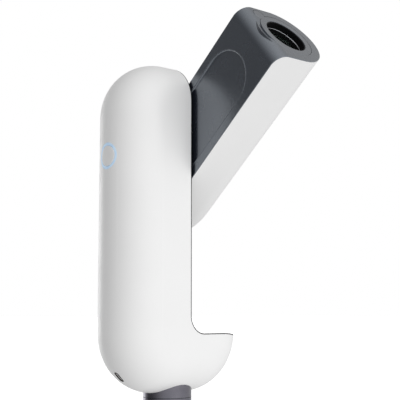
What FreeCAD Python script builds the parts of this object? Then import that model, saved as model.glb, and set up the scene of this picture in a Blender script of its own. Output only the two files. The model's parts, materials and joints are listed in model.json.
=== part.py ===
"""Compact smart telescope: a motorised imaging telescope in one pill-shaped case.

The case splits along a vertical plane. The left part, with a foot that turns under, is the
body: it holds the battery, the main board and both drives, and turns on a round base that
screws to a tripod. The right part is the arm: it holds the lens, the focuser and the image
sensor, and swings about the altitude axis. Parked, the arm completes the pill.

Frame: +Z up, +X across the case towards the arm, -Y towards the side that the lens looks to.
The origin is the mouth of the tripod thread, at the middle of the base's lower face.
Arm pieces are drawn parked, hanging straight down, and placed by the raised arm's pose.
Every size is in millimetres and angles are in degrees.
"""
import FreeCAD, Part
import Sketcher
import math
import os
import re

from FreeCAD import Placement, Rotation, Vector

DRIVING_SIZES = {
    # case
    "case_height": 400, "case_width": 187, "case_depth": 94, "case_corner": 71,
    "case_rim": 46.9, "wall": 2.6, "case_floor": 20, "shell_edge": 0.8, "cover_edge": 0.5,
    # split between body and arm
    "body_face": -1, "arm_face": 1.2, "seam_edge": 0.9, "lining": 2.4,
    # swing of the arm
    "pivot_up": 302.5, "swing_radius": 216.5, "swing_corner": 21,
    "arm_reach": 210.9, "arm_corner": 17.5, "raised_turn": 130,
    "recess_radius": 36, "recess_depth": 2, "recess_reach": 134.5,
    # fits, screws and posts
    "running_gap": 0.05, "seat_gap": 0.02, "bolt": 1.5, "bolt_head": 2.6, "head_height": 2,
    "collar_bolt": 2, "post_radius": 4, "sheet": 1.6,
    # round base
    "base_radius": 29.5, "base_top": 14.3, "base_edge": 1.2, "pad_height": 1,
    "base_web": 22, "web_top": 10, "insert_radius": 9, "insert_length": 9.8,
    "thread_radius": 4, "base_bolt_seat": 12, "base_bolt_reach": 7,
    "spindle_radius": 14, "spindle_bore": 9, "spindle_foot": 21.5, "spindle_step": 13.9,
    "spindle_top": 60.8, "spindle_bolts": 18, "nut_radius": 18,
    # collar and azimuth bearing
    "collar_bottom": 14.8, "collar_bolts": 29, "bearing_seat": 24, "bearing_lip": 1.6,
    "bearing_low": 17, "bearing_high": 31, "bearing_width": 8, "spacer_radius": 20,
    "flange_radius": 34, "flange_bottom": 40, "flange_top": 44,
    # azimuth drive
    "tooth_module": 1, "sun_teeth": 40, "azimuth_teeth": 12, "mesh_gap": 0.12,
    "sun_bottom": 51, "sun_width": 6, "azimuth_can": 16, "azimuth_can_top": 80.5,
    "azimuth_shaft_top": 74, "pinion_shaft": 2.5, "nose_step": 3, "nose_length": 2,
    "bracket_back": 8, "bracket_leg": 24, "bracket_front": 46, "bracket_side": 20,
    "bracket_bottom": 58.6, "bracket_top": 61.4, "bracket_wall": 3,
    # chassis
    "floor_back": -34, "floor_front": 30, "floor_side": 33, "floor_top": 48,
    "tongue_front": 48, "tongue_side": 22, "plate_back": -14, "plate_front": -11,
    "spine_side": 30, "spine_top": 385, "window_radius": 12,
    # altitude drive
    "shaft_radius": 15, "shaft_bore": 9, "boss_radius": 20, "boss_gap": 0.3, "boss_back": -5,
    "shaft_end": -56, "shaft_flange": 24, "shaft_flange_back": 6, "shaft_bolts": 19.5,
    "altitude_teeth": 56, "altitude_pinion_teeth": 14, "wheel_back": -54, "wheel_width": 7,
    "housing_end": -44, "housing_bore": 20, "housing_radius": 26, "housing_flange": 32,
    "housing_flange_height": 4, "near_bearing": -22, "far_bearing": -43, "race_width": 7,
    "altitude_can": 17, "altitude_can_face": -60, "altitude_can_end": -83.5,
    "altitude_shaft_tip": -71, "bridge_plate": 2.5, "bridge_side": 26, "bridge_wall": 3,
    "bridge_bottom": 240, "bridge_top": 288, "wing_top": 262,
    # battery and boards
    "cell_radius": 10.6, "cell_length": 70, "cell_pitch": 21.6, "cell_front": -27.5,
    "cell_bottom": 95, "tray_back": -82.5, "tray_side": 23, "tray_wall": 4,
    "board_back": -76, "board_front": -16, "board_inside": 27, "board_bottom": 100,
    "board_top": 236, "rail_inside": 23.2, "antenna_back": -62, "antenna_side": 14,
    # power button and light ring
    "button_up": 300.6, "button_radius": 12.4, "ring_inner": 12.8, "ring_outer": 15.9,
    "button_back": -86, "plunger_radius": 3, "plunger_length": 1.8, "button_frame": 18,
    "frame_height": 2, "button_post": 2.4, "post_offset": 11, "switch_side": 14,
    "switch_up": 13.5, "switch_half": 3, "switch_height": 1.2,
    # charging port
    "port_length": 16, "port_width": 7.6, "port_depth": 3.5, "plug_length": 21,
    "plug_width": 12, "plug_height": 9.5, "contact_radius": 1, "contact_height": 0.6,
    "contact_pitch": 2.9,
    # front ring and lens boss
    "lens_axis": 45.9, "lens_bore": 27, "front_ring": 35.6, "front_ring_gap": 0.3,
    "front_ring_height": 2.3, "ring_sleeve": 5.6,
    "lobe_radius": 8.2, "lobe_across": -22.2, "lobe_along": -34.5,
    "boss_plate": 40, "boss_lobe": 11.7, "boss_bottom": 1.6, "boss_height": 6.4,
    "magnet_circle": 33, "magnet_radius": 2.5, "magnet_height": 1.9,
    # lens tube and glass
    "tube_outer": 29.5, "tube_bore": 27.6, "tube_top": 300, "clamp_outer": 31.7, "clamp_width": 12,
    "glass_radius": 25, "cell_depth": 10, "retainer_height": 2, "retainer_lip": 0.8,
    "objective_length": 20, "crown_curve": 110, "crown_height": 9, "flint_front": 7.5,
    "flint_height": 9, "flint_gap": 0.3, "heater_outer": 30.3, "rear_radius": 16,
    "rear_cell": 14, "rear_curve": 60, "rear_height": 7, "rear_inset": 12,
    # arm frame
    "frame_near": 11, "frame_far": 14, "frame_side": 24, "frame_bottom": 105,
    "frame_top": 372, "foot_side": 10, "foot_bottom": 305, "foot_top": 370, "clamp_foot": 20,
    # focuser and camera
    "focus_side": 24, "focus_plate": 4, "focus_web": 2, "focus_depth": 20, "focus_back": 372,
    "guide_radius": 2, "guide_side": 15, "guide_bottom": 301, "guide_length": 73,
    "screw_radius": 2, "screw_along": -15.5, "screw_bottom": 304.5, "screw_length": 80,
    "nut_outer": 5, "nut_length": 12, "carriage_up": 338, "carriage_side": 20,
    "carriage_plate": 4, "sensor_sheet": 3, "sensor_side": 15, "sensor_low": -10,
    "sensor_high": 11, "chip_side": 6, "chip_depth": 5, "chip_height": 1.5,
    "focus_can": 9, "focus_can_top": 394, "focus_shaft_top": 385,
    "sink_side": 16, "sink_low": -4, "sink_high": 20, "sink_base": 3, "sink_height": 12,
    "fin_pitch": 5.6,
}

doc = FreeCAD.newDocument("SmartTelescope")
sheet = doc.addObject("Spreadsheet::Sheet", "Sizes")
for row, (alias, number) in enumerate(DRIVING_SIZES.items(), start=1):
    sheet.set(f"A{row}", alias)
    sheet.set(f"B{row}", str(number))
    sheet.setAlias(f"B{row}", alias)
doc.recompute()

ALIAS = re.compile(r"\b(" + "|".join(sorted(DRIVING_SIZES, key=len, reverse=True)) + r")\b")
TURN_TO = {
    "Z": Rotation(),
    "X": Rotation(Vector(0, 1, 0), 90),
    "Y": Rotation(Vector(1, 0, 0), -90),
}
pieces = {}


# ---------------------------------------------------------------- helpers
def size(alias):
    """Read one driving size from the sheet."""
    return float(sheet.get(alias))


def on_sheet(formula):
    """Turn a formula in plain aliases into one that names the sheet's cells."""
    return ALIAS.sub(r"Sizes.\1", str(formula))


def bind(thing, formulas):
    """Bind each property to its formula."""
    for prop, formula in formulas.items():
        thing.setExpression(prop, on_sheet(formula))


def put(thing, at, along="Z"):
    """Place a thing at three formulas, with its own Z axis along a row axis."""
    thing.Placement = Placement(Vector(), TURN_TO[along])
    bind(thing, {f"Placement.Base.{axis}": value for axis, value in zip("xyz", at)})
    return thing


def block(name, low, high):
    """Box between two corners given as formulas."""
    box = doc.addObject("Part::Box", name)
    spans = [f"({top}) - ({bottom})" for bottom, top in zip(low, high)]
    bind(box, dict(zip(("Length", "Width", "Height"), spans)))
    return put(box, low)


def rod(name, radius, length, at, along="Z"):
    """Cylinder that starts at a point and runs along a row axis."""
    cylinder = doc.addObject("Part::Cylinder", name)
    bind(cylinder, {"Radius": radius, "Height": length})
    return put(cylinder, at, along)


def fused(name, parts):
    """One solid from parts that touch or overlap."""
    fusion = doc.addObject("Part::MultiFuse", name)
    fusion.Shapes = parts
    fusion.Refine = True
    return fusion


def shared(name, parts):
    """The space that all parts have in common."""
    common = doc.addObject("Part::MultiCommon", name)
    common.Shapes = parts
    return common


def cut(name, base, *tools):
    """Base with every tool taken away."""
    result = doc.addObject("Part::Cut", name)
    result.Base = base
    result.Tool = tools[0] if len(tools) == 1 else fused(name + "Tools", list(tools))
    return result


def group(name, parts):
    """Separate equal solids kept as one piece, such as a set of screws."""
    compound = doc.addObject("Part::Compound", name)
    compound.Links = parts
    return compound


def new_body(name):
    """Empty PartDesign body."""
    return doc.addObject("PartDesign::Body", name)


def sketch_on(body, role):
    """Sketch attached to one of the body's own origin planes."""
    plane = next(f for f in body.Origin.OriginFeatures if f.Role == role)
    sketch = body.newObject("Sketcher::SketchObject", body.Name + "Sketch")
    sketch.AttachmentSupport = [(plane, "")]
    sketch.MapMode = "FlatFace"
    return sketch


def outline(sketch, points):
    """Closed polygon whose corners are bound to pairs of formulas."""
    values = [(evaluate(across), evaluate(up)) for across, up in points]
    count = len(values)
    for index, (across, up) in enumerate(values):
        nxt = values[(index + 1) % count]
        sketch.addGeometry(Part.LineSegment(Vector(across, up, 0), Vector(*nxt, 0)), False)
    for index in range(count):
        after = (index + 1) % count
        sketch.addConstraint(Sketcher.Constraint("Coincident", index, 2, after, 1))
    for index, (across, up) in enumerate(values):
        for kind, value, formula in (("DistanceX", across, points[index][0]),
                                     ("DistanceY", up, points[index][1])):
            number = sketch.addConstraint(Sketcher.Constraint(kind, -1, 1, index, 1, value))
            sketch.setExpression(f"Constraints[{number}]", on_sheet(formula))


def evaluate(formula):
    """Value of a formula on the driving sizes."""
    text = ALIAS.sub(lambda found: repr(size(found.group(1))), str(formula))
    return float(FreeCAD.Units.Quantity(str(sheet.evalExpression(text))).Value)


def turned(name, profile, at=(0, 0, 0), along="Z"):
    """Body revolved from a profile of (radius, height) pairs about its own Z axis."""
    body = new_body(name)
    sketch = sketch_on(body, "XZ_Plane")
    outline(sketch, profile)
    revolution = body.newObject("PartDesign::Revolution", name + "Turned")
    revolution.Profile = sketch
    revolution.ReferenceAxis = (sketch, ["V_Axis"])
    revolution.Angle = 360
    return put(body, at, along)


def ring(name, inner, outer, bottom, top, at=(0, 0, 0), along="Z"):
    """Plain ring with a square section."""
    return turned(name, [(inner, bottom), (outer, bottom), (outer, top), (inner, top)],
                  at, along)


def round_edges(body, base, name, radius, chosen):
    """Fillet on the edges that a test picks out."""
    doc.recompute()
    names = [f"Edge{number}" for number, edge in enumerate(base.Shape.Edges, start=1)
             if chosen(edge)]
    fillet = body.newObject("PartDesign::Fillet", name)
    fillet.Base = (base, names)
    bind(fillet, {"Radius": radius})
    doc.recompute()
    return fillet


def padded(body, name, points, role, length, midplane):
    """Prism from an outline, either centred on the plane or to one side of it."""
    sketch = sketch_on(body, role)
    outline(sketch, points)
    pad = body.newObject("PartDesign::Pad", name)
    pad.Profile = sketch
    pad.Midplane = midplane
    bind(pad, {"Length": length})
    return pad


def gear(teeth, width, bore, half_step=False):
    """Spur gear about its own Z axis, with straight-flanked teeth made in a loop.

    A tooth points along the gear's X axis, or a gap does where half_step is set. Flanks run
    from the root circle to the tip circle and are a little thin, for play.
    """
    module = size("tooth_module")
    pitch = teeth * module / 2
    step = 2 * math.pi / teeth
    levels = ((pitch - 1.25 * module, 0.36), (pitch, 0.235), (pitch + 0.95 * module, 0.12))
    points = []
    for number in range(teeth):
        middle = (number + 0.5 * half_step) * step
        flank = [(radius, -half * step) for radius, half in levels]
        flank += [(radius, half * step) for radius, half in reversed(levels)]
        points += [Vector(r * math.cos(middle + a), r * math.sin(middle + a), 0)
                   for r, a in flank]
    blank = Part.Face(Part.makePolygon(points + points[:1])).extrude(Vector(0, 0, width))
    if bore:
        blank = blank.cut(Part.makeCylinder(bore, width))
    return blank


def piece(label, thing):
    """Name a finished sub-part."""
    thing.Label = label
    pieces[label] = thing
    return thing


def arm_piece(label, parked):
    """Name an arm piece and raise it about the altitude axis from parked to the rest pose."""
    raised = group(parked.Name + "Raised", [parked])
    raised.Placement = Placement(Vector(), Rotation(Vector(-1, 0, 0), size("raised_turn")))
    bind(raised, {
        "Placement.Rotation.Angle": "raised_turn",
        "Placement.Base.y": "-sin(raised_turn) * pivot_up",
        "Placement.Base.z": "pivot_up - cos(raised_turn) * pivot_up",
    })
    return piece(label, raised)


def along_axis(spot, axis, level):
    """Point with its coordinate along one row axis set to a level."""
    return [level if letter == axis else value for letter, value in zip("XYZ", spot)]


def screws(name, spots, axis, seat, head, stem):
    """Cap screws as separate solids.

    Heads fill the stretch from seat to seat plus head's length, and stems run the other way
    where stem's length is positive. head and stem are (radius, length) pairs, and a negative
    head length turns the screw round.
    """
    made = []
    for number, spot in enumerate(spots, start=1):
        parts = []
        for kind, (radius, length) in (("Head", head), ("Stem", stem)):
            start = f"({seat}) + min({length}; 0)"
            parts.append(rod(f"{name}{kind}{number}", radius, f"abs({length})",
                             along_axis(spot, axis, start), axis))
        made.append(fused(f"{name}{number}", parts))
    return group(name, made)


def bores(name, spots, axis, start, radius, length):
    """Tool of equal round holes that run along a row axis."""
    rods = [rod(f"{name}{number}", radius, length, along_axis(spot, axis, start), axis)
            for number, spot in enumerate(spots, start=1)]
    return group(name, rods)


def circle_spots(count, radius, offset=0):
    """Points evenly spaced on a circle, as (across, along) pairs."""
    turn = 2 * math.pi / count
    return [(radius * math.cos(offset + turn * n), radius * math.sin(offset + turn * n))
            for n in range(count)]


# ---------------------------------------------------------------- shapes of the whole case
def pill(name, inset):
    """Case outline drawn in by a wall: a flat pill with a full round rim."""
    across, deep = f"(case_width / 2 - {inset})", f"2 * (case_depth / 2 - {inset})"
    low, high = f"(case_floor + {inset})", f"(case_floor + case_height - {inset})"
    body = new_body(name)
    corners = [(f"-{across}", low), (across, low), (across, high), (f"-{across}", high)]
    slab = padded(body, name + "Slab", corners, "XZ_Plane", deep, True)
    rounded = round_edges(body, slab, name + "Corners", f"case_corner - {inset}",
                          lambda edge: abs(edge.tangentAt(edge.FirstParameter).y) > 0.9)
    round_edges(body, rounded, name + "Rim", f"case_rim - {inset}",
                lambda edge: abs(edge.tangentAt(edge.FirstParameter).y) < 0.1)
    return body


def swing_space(name, inset):
    """Disc about the altitude axis that the arm needs, grown into the body by an inset."""
    face, reach = f"body_face - {inset}", f"swing_radius + {inset}"
    body = turned(name, [(0, face), (reach, face), (reach, "case_width"), (0, "case_width")],
                  (0, 0, "pivot_up"), "X")
    low = size("body_face")
    round_edges(body, body.Tip, name + "Corner", f"swing_corner + {inset}",
                lambda edge: edge.BoundBox.ZMax < low + 1 and edge.BoundBox.XLength > 1)
    return body


def arm_space(name, inset):
    """Everything on the arm's side of the split, drawn in by an inset."""
    near, low = f"arm_face + {inset}", f"pivot_up - arm_reach + {inset}"
    body = new_body(name)
    corners = [(near, low), ("case_width", low), ("case_width", "2 * case_height"),
               (near, "2 * case_height")]
    slab = padded(body, name + "Slab", corners, "XZ_Plane", "2 * case_depth", True)
    edge_x, edge_z = evaluate(near), evaluate(low)
    round_edges(body, slab, name + "Corner", f"arm_corner - {inset}",
                lambda edge: abs(edge.CenterOfMass.x - edge_x) < 0.01
                and abs(edge.CenterOfMass.z - edge_z) < 0.01)
    return body


def lies_on(edge, solids, reach=0.001):
    """Whether an edge runs along the skin of every one of the solids."""
    first, span = edge.FirstParameter, edge.LastParameter - edge.FirstParameter
    samples = [Part.Vertex(edge.valueAt(first + span * share)) for share in (0.1, 0.4, 0.8)]
    skins = [Part.Compound(solid.Shape.Faces) for solid in solids]
    return all(skin.distToShape(sample)[0] < reach for skin in skins for sample in samples)


def softened(name, base, radius, chosen):
    """Boolean result with the edges that a test picks out rounded."""
    doc.recompute()
    fillet = doc.addObject("Part::Fillet", name)
    fillet.Base = base
    fillet.Edges = [(number, radius, radius)
                    for number, edge in enumerate(base.Shape.Edges, start=1) if chosen(edge)]
    doc.recompute()
    return fillet


def slot_prism(name, length, width, height):
    """Prism on its own XY plane with a long round-ended outline."""
    body = new_body(name)
    half_l, half_w = f"({length}) / 2", f"({width}) / 2"
    corners = [(f"-({half_l})", f"-({half_w})"), (half_l, f"-({half_w})"),
               (half_l, half_w), (f"-({half_l})", half_w)]
    slab = padded(body, name + "Slab", corners, "XY_Plane", height, False)
    round_edges(body, slab, name + "Ends", f"({width}) / 2 - 0.05",
                lambda edge: abs(edge.tangentAt(edge.FirstParameter).z) > 0.9)
    return body


case_outside = pill("CaseOutside", "0")
case_inside = pill("CaseInside", "wall")
bay = swing_space("Bay", "0")
bay_edge = swing_space("BayEdge", "seam_edge")
bay_lining = swing_space("BayLining", "lining")
arm_side = arm_space("ArmSide", "0")
arm_edge = arm_space("ArmEdge", "seam_edge")
arm_lining = arm_space("ArmLining", "lining")

# ---------------------------------------------------------------- base, fixed to the tripod
BOLT_HOLE = "bolt + seat_gap"
OVER = 20  # how far a cutting tool runs past the material that it cuts
SPINDLE_SPOTS = [(*spot, 0) for spot in circle_spots(4, size("spindle_bolts"), math.pi / 4)]

plate_holes = bores("PlateHoles", SPINDLE_SPOTS, "Z", "base_bolt_seat - base_bolt_reach",
                    BOLT_HOLE, OVER)
base_blank = turned("BasePlateBlank", [
    ("insert_radius", "pad_height"), ("base_radius - base_edge", "pad_height"),
    ("base_radius", "pad_height + base_edge"), ("base_radius", "base_top"),
    ("base_web", "base_top"), ("base_web", "web_top"), ("insert_radius", "web_top")])
piece("base_plate", cut("BasePlate", base_blank, plate_holes))
piece("base_pad", ring("BasePad", "base_bolt_seat", "base_radius - 2", 0, "pad_height"))
piece("thread_insert", ring("ThreadInsert", "thread_radius", "insert_radius - seat_gap", 0,
                            "insert_length"))

spindle_blank = turned("SpindleBlank", [
    ("spindle_bore", "web_top"), ("spindle_foot", "web_top"), ("spindle_foot", "spindle_step"),
    ("spindle_radius", "spindle_step"), ("spindle_radius", "spindle_top"),
    ("spindle_bore", "spindle_top")])
spindle_holes = bores("SpindleHoles", SPINDLE_SPOTS, "Z", "web_top - 1", BOLT_HOLE, OVER)
spindle_sinks = bores("SpindleSinks", SPINDLE_SPOTS, "Z", "base_bolt_seat",
                      "bolt_head + 2 * running_gap", OVER)
piece("azimuth_spindle", cut("AzimuthSpindle", spindle_blank, spindle_holes, spindle_sinks))
piece("base_screws", screws("BaseScrews", SPINDLE_SPOTS, "Z", "base_bolt_seat",
                            ("bolt_head", "head_height - 0.2"), ("bolt", "-base_bolt_reach")))
piece("spindle_nut", ring("SpindleNut", "spindle_radius + seat_gap", "nut_radius",
                          "sun_bottom + sun_width", "spindle_top - 1"))

sun_gear = doc.addObject("Part::Feature", "AzimuthSunGear")
sun_gear.Shape = gear(int(size("sun_teeth")), size("sun_width"),
                      size("spindle_radius") + size("seat_gap"))
put(sun_gear, (0, 0, "sun_bottom"))
piece("azimuth_sun_gear", sun_gear)

# ---------------------------------------------------------------- collar and azimuth bearing
COLLAR_SPOTS = [(*spot, 0) for spot in circle_spots(6, size("collar_bolts"), math.pi / 2)
                if spot[0] < 5]

collar_blank = turned("CollarBlank", [
    ("bearing_seat - bearing_lip", "collar_bottom"), ("base_radius", "collar_bottom"),
    ("base_radius", "flange_bottom"), ("flange_radius", "flange_bottom"),
    ("flange_radius", "flange_top"), ("bearing_seat", "flange_top"),
    ("bearing_seat", "bearing_low"), ("bearing_seat - bearing_lip", "bearing_low")])
collar_holes = bores("CollarHoles", COLLAR_SPOTS, "Z", "flange_bottom",
                     "collar_bolt + seat_gap", OVER)
piece("base_collar", cut("BaseCollar", collar_blank, collar_holes))

bearing_inner = "spindle_radius + running_gap"
bearing_outer = "bearing_seat - seat_gap"
piece("azimuth_bearings", group("AzimuthBearings", [
    ring("AzimuthBearingLow", bearing_inner, bearing_outer, "bearing_low",
         "bearing_low + bearing_width"),
    ring("AzimuthBearingHigh", bearing_inner, bearing_outer, "bearing_high",
         "bearing_high + bearing_width")]))
piece("bearing_spacer", ring("BearingSpacer", "spacer_radius", bearing_outer,
                             "bearing_low + bearing_width", "bearing_high"))

# ---------------------------------------------------------------- body case
PLUG_FRONT = size("case_corner") - size("port_depth")
PLUG_BACK = PLUG_FRONT - size("plug_height")
port_pose = Placement(
    Vector(-size("case_width") / 2 + size("case_corner"), 0,
           size("case_floor") + size("case_corner")),
    Rotation(Vector(0, 1, 0), 225))


def port_piece(thing, out, across=0):
    """Place a thing on the charging port's own axis, out from the corner's centre."""
    thing.Placement = port_pose.multiply(Placement(Vector(across, 0, out), Rotation()))
    return thing


port_mouth = port_piece(slot_prism("PortMouth", "port_length", "port_width", OVER), PLUG_BACK)
collar_hole = rod("CollarHole", "base_radius + 2 * running_gap", "flange_bottom", (0, 0, 0))
button_hole = rod("ButtonHole", "ring_outer + 2 * running_gap", OVER,
                  ("-case_width / 2 - 5", 0, "button_up"), "X")
body_case = cut("BodyCase", case_outside, case_inside, bay_edge, port_mouth, collar_hole,
                button_hole)
piece("body_shell", softened("BodyShell", body_case, size("shell_edge"),
                             lambda edge: lies_on(edge, (case_outside, bay_edge))))

LINING_SPOTS = [(0, -18, 110), (0, 18, 110), (0, -26, 170), (0, -26, 340), (0, 26, 340)]

liner_edge = cut("LinerEdge", shared("LinerEdgeRegion", [case_outside, bay_edge]), bay)
liner_wall = cut("LinerWall", shared("LinerWallRegion", [case_inside, bay_lining]), bay)
liner_posts = [rod(f"LinerPost{number}", "post_radius", "body_face - 2 - (plate_front)",
                   ("plate_front", spot[1], spot[2]), "X")
               for number, spot in enumerate(LINING_SPOTS, start=1)]
liner_blank = fused("LinerBlank", [liner_edge, liner_wall] + liner_posts)
liner_bores = bores("LinerBores", LINING_SPOTS, "X", "plate_front - 1", BOLT_HOLE, 7)
shaft_way = rod("ShaftWay", "boss_radius + 1", OVER, (-12, 0, "pivot_up"), "X")
liner_plain = cut("BayLiningPlain", liner_blank, liner_bores, shaft_way)
piece("bay_liner", softened("BayLiner", liner_plain, size("cover_edge"),
                            lambda edge: lies_on(edge, (case_outside, bay))))

# ---------------------------------------------------------------- chassis and azimuth drive
AZIMUTH_SPAN = "((sun_teeth + azimuth_teeth) * tooth_module / 2 + mesh_gap)"
WINDOW_LEVELS = (75, 120, 150, 195, 225, 355)

chassis_blank = fused("ChassisBlank", [
    block("ChassisFlange", ("floor_back", "-floor_side", "flange_top"),
          ("floor_front", "floor_side", "floor_top")),
    block("ChassisTongue", ("floor_front", "-tongue_side", "flange_top"),
          ("tongue_front", "tongue_side", "floor_top")),
    block("ChassisSpine", ("plate_back", "-spine_side", "floor_top"),
          ("plate_front", "spine_side", "spine_top"))])
chassis_windows = group("ChassisWindows", [
    rod(f"ChassisWindow{number}", "window_radius", OVER, (-22, 0, up), "X")
    for number, up in enumerate(WINDOW_LEVELS, start=1)])
spine_bores = bores("SpineBores", LINING_SPOTS, "X", -20, BOLT_HOLE, OVER)
piece("chassis_frame", cut(
    "ChassisFrame", chassis_blank, chassis_windows, spine_bores,
    bores("ChassisBores", COLLAR_SPOTS, "Z", "flange_bottom", "collar_bolt + seat_gap", OVER),
    rod("SpindleWay", "nut_radius + 2", OVER, (0, 0, "flange_bottom")),
    rod("SunGearWay", "(sun_teeth / 2 + 3) * tooth_module", 18, (0, 0, "floor_top")),
    rod("SpineShaftWay", "boss_radius + 1", OVER, (-22, 0, "pivot_up"), "X")))
piece("collar_screws", screws("CollarScrews", COLLAR_SPOTS, "Z", "floor_top",
                              (3.4, 2.4), ("collar_bolt", -7)))
piece("liner_screws", screws("LinerScrews", LINING_SPOTS, "X", "plate_back",
                             (2.8, -2.4), ("bolt", 9)))

bracket_blank = fused("AzimuthBracketBlank", [
    block("BracketTop", ("bracket_back", "-bracket_side", "bracket_bottom"),
          ("bracket_front", "bracket_side", "bracket_top")),
    block("BracketLegLeft", ("bracket_leg", "-bracket_side", "floor_top"),
          ("bracket_front", "bracket_wall - bracket_side", "bracket_bottom")),
    block("BracketLegRight", ("bracket_leg", "bracket_side - bracket_wall", "floor_top"),
          ("bracket_front", "bracket_side", "bracket_bottom"))])
piece("azimuth_bracket", cut("AzimuthBracket", bracket_blank,
                             rod("BracketWay", "pinion_shaft + 0.7", OVER,
                                 (AZIMUTH_SPAN, 0, "floor_top")),
                             rod("SpindleTopWay", "nut_radius + 2", OVER,
                                 (0, 0, "floor_top"))))


def motor(name, radius, near, far, bore_end, at, along="Z"):
    """Closed motor can with a stepped nose and a bore that takes its pinion's shaft."""
    bore = "pinion_shaft + 2 * running_gap"
    outward = "1" if evaluate(far) > evaluate(near) else "-1"
    nose, step = f"({near}) + {outward} * nose_length", f"{radius} - nose_step"
    profile = [(bore, near), (step, near), (step, nose), (radius, nose), (radius, far),
               (0, far), (0, bore_end), (bore, bore_end)]
    return turned(name, profile, at, along)


def pinion(name, teeth, bottom, width, shaft_end, at, along):
    """Small gear in one with the shaft that drives it."""
    toothed = doc.addObject("Part::Feature", name + "Teeth")
    toothed.Shape = gear(teeth, width, 0, half_step=True)
    put(toothed, along_axis(at, along, bottom), along)
    tip, root = evaluate(shaft_end), evaluate(bottom)
    low, high = (tip, root) if tip < root else (root + width, tip)
    shaft = rod(name + "Shaft", "pinion_shaft", high - low, along_axis(at, along, low), along)
    return fused(name, [toothed, shaft])


azimuth_at = (AZIMUTH_SPAN, 0, 0)
piece("azimuth_motor", motor("AzimuthMotor", "azimuth_can", "bracket_top + 0.1",
                             "azimuth_can_top", "azimuth_shaft_top + 2", azimuth_at))
piece("azimuth_pinion", pinion("AzimuthPinion", int(size("azimuth_teeth")),
                               "sun_bottom - 0.5", size("sun_width") + 1,
                               "azimuth_shaft_top", azimuth_at, "Z"))

# ---------------------------------------------------------------- altitude bearing and drive
ALTITUDE_DROP = "((altitude_teeth + altitude_pinion_teeth) * tooth_module / 2 + mesh_gap)"
pivot = (0, 0, "pivot_up")
altitude_at = (0, 0, f"pivot_up - {ALTITUDE_DROP}")

flange_face = "plate_back - housing_flange_height"
piece("altitude_housing", turned("AltitudeHousing", [
    ("housing_bore", "housing_end"), ("housing_radius", "housing_end"),
    ("housing_radius", flange_face), ("housing_flange", flange_face),
    ("housing_flange", "plate_back"), ("housing_bore", "plate_back")], pivot, "X"))
race_inner, race_outer = "shaft_radius + running_gap", "housing_bore - seat_gap"
piece("altitude_bearings", group("AltitudeBearings", [
    ring("AltitudeBearingNear", race_inner, race_outer, "near_bearing",
         "near_bearing + race_width", pivot, "X"),
    ring("AltitudeBearingFar", race_inner, race_outer, "far_bearing",
         "far_bearing + race_width", pivot, "X")]))
bridge_face = "altitude_can_face + bridge_plate"
bridge_blank = fused("AltitudeBracketBlank", [
    block("BridgePlate", ("altitude_can_face", "-bridge_side", "bridge_bottom"),
          (bridge_face, "bridge_side", "bridge_top")),
    block("BridgeLeft", (bridge_face, "-bridge_side", "bridge_bottom"),
          ("plate_back", "bridge_wall - bridge_side", "wing_top")),
    block("BridgeRight", (bridge_face, "bridge_side - bridge_wall", "bridge_bottom"),
          ("plate_back", "bridge_side", "wing_top"))])
piece("altitude_bracket", cut("AltitudeBracket", bridge_blank,
                              rod("BridgeWay", "pinion_shaft + 0.7", 10,
                                  ("altitude_can_face - 5", 0, altitude_at[2]), "X")))
piece("altitude_motor", motor("AltitudeMotor", "altitude_can", "altitude_can_face",
                              "altitude_can_end", "altitude_shaft_tip - 2", altitude_at, "X"))
piece("altitude_pinion", pinion("AltitudePinion", int(size("altitude_pinion_teeth")),
                                "wheel_back - 0.5", size("wheel_width") + 1,
                                "altitude_shaft_tip", altitude_at, "X"))

# ---------------------------------------------------------------- battery and boards
CELL_SPOTS = [(f"cell_front - {column} * cell_pitch", f"{side} * cell_pitch / 2", "cell_bottom")
              for column in range(3) for side in (-1, 1)]
BOARD_PARTS = {  # back, inner face, bottom, front and top of each part on the main board
    "BoardProcessor": (-62, 24.5, 188, -40, 210),
    "BoardMemory": (-34, 25.4, 190, -22, 208),
    "BoardDriver": (-58, 25.2, 216, -44, 228),
    "BoardSocket": (-34, 22.5, 216, -20, 223),
    "BoardPower": (-68, 23.5, 172, -56, 182),
}

piece("battery_cells", group("BatteryCells", [
    rod(f"BatteryCell{number}", "cell_radius", "cell_length", spot)
    for number, spot in enumerate(CELL_SPOTS, start=1)]))
cap_bottom = "cell_bottom + cell_length"
piece("battery_tray", block("BatteryTray", ("tray_back", "-tray_side", "cell_bottom - tray_wall"),
                            ("plate_back", "tray_side", "cell_bottom")))
piece("battery_cap", block("BatteryCap", ("tray_back", "-tray_side", cap_bottom),
                           ("plate_back", "tray_side", f"{cap_bottom} + tray_wall")))
piece("board_rail", block("BoardRail", ("board_front", "rail_inside", "board_bottom"),
                          ("plate_back", "board_inside + sheet", "board_top")))
board_sheet = block("BoardSheet", ("board_back", "board_inside", "board_bottom"),
                    ("board_front", "board_inside + sheet", "board_top"))
piece("main_board", fused("MainBoard", [board_sheet] + [
    block(name, (back, inner, low), (front, "board_inside", high))
    for name, (back, inner, low, front, high) in BOARD_PARTS.items()]))
piece("antenna_board", block("AntennaBoard", ("antenna_back", "-antenna_side", "spine_top"),
                             ("plate_front", "antenna_side", "spine_top + sheet")))

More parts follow.
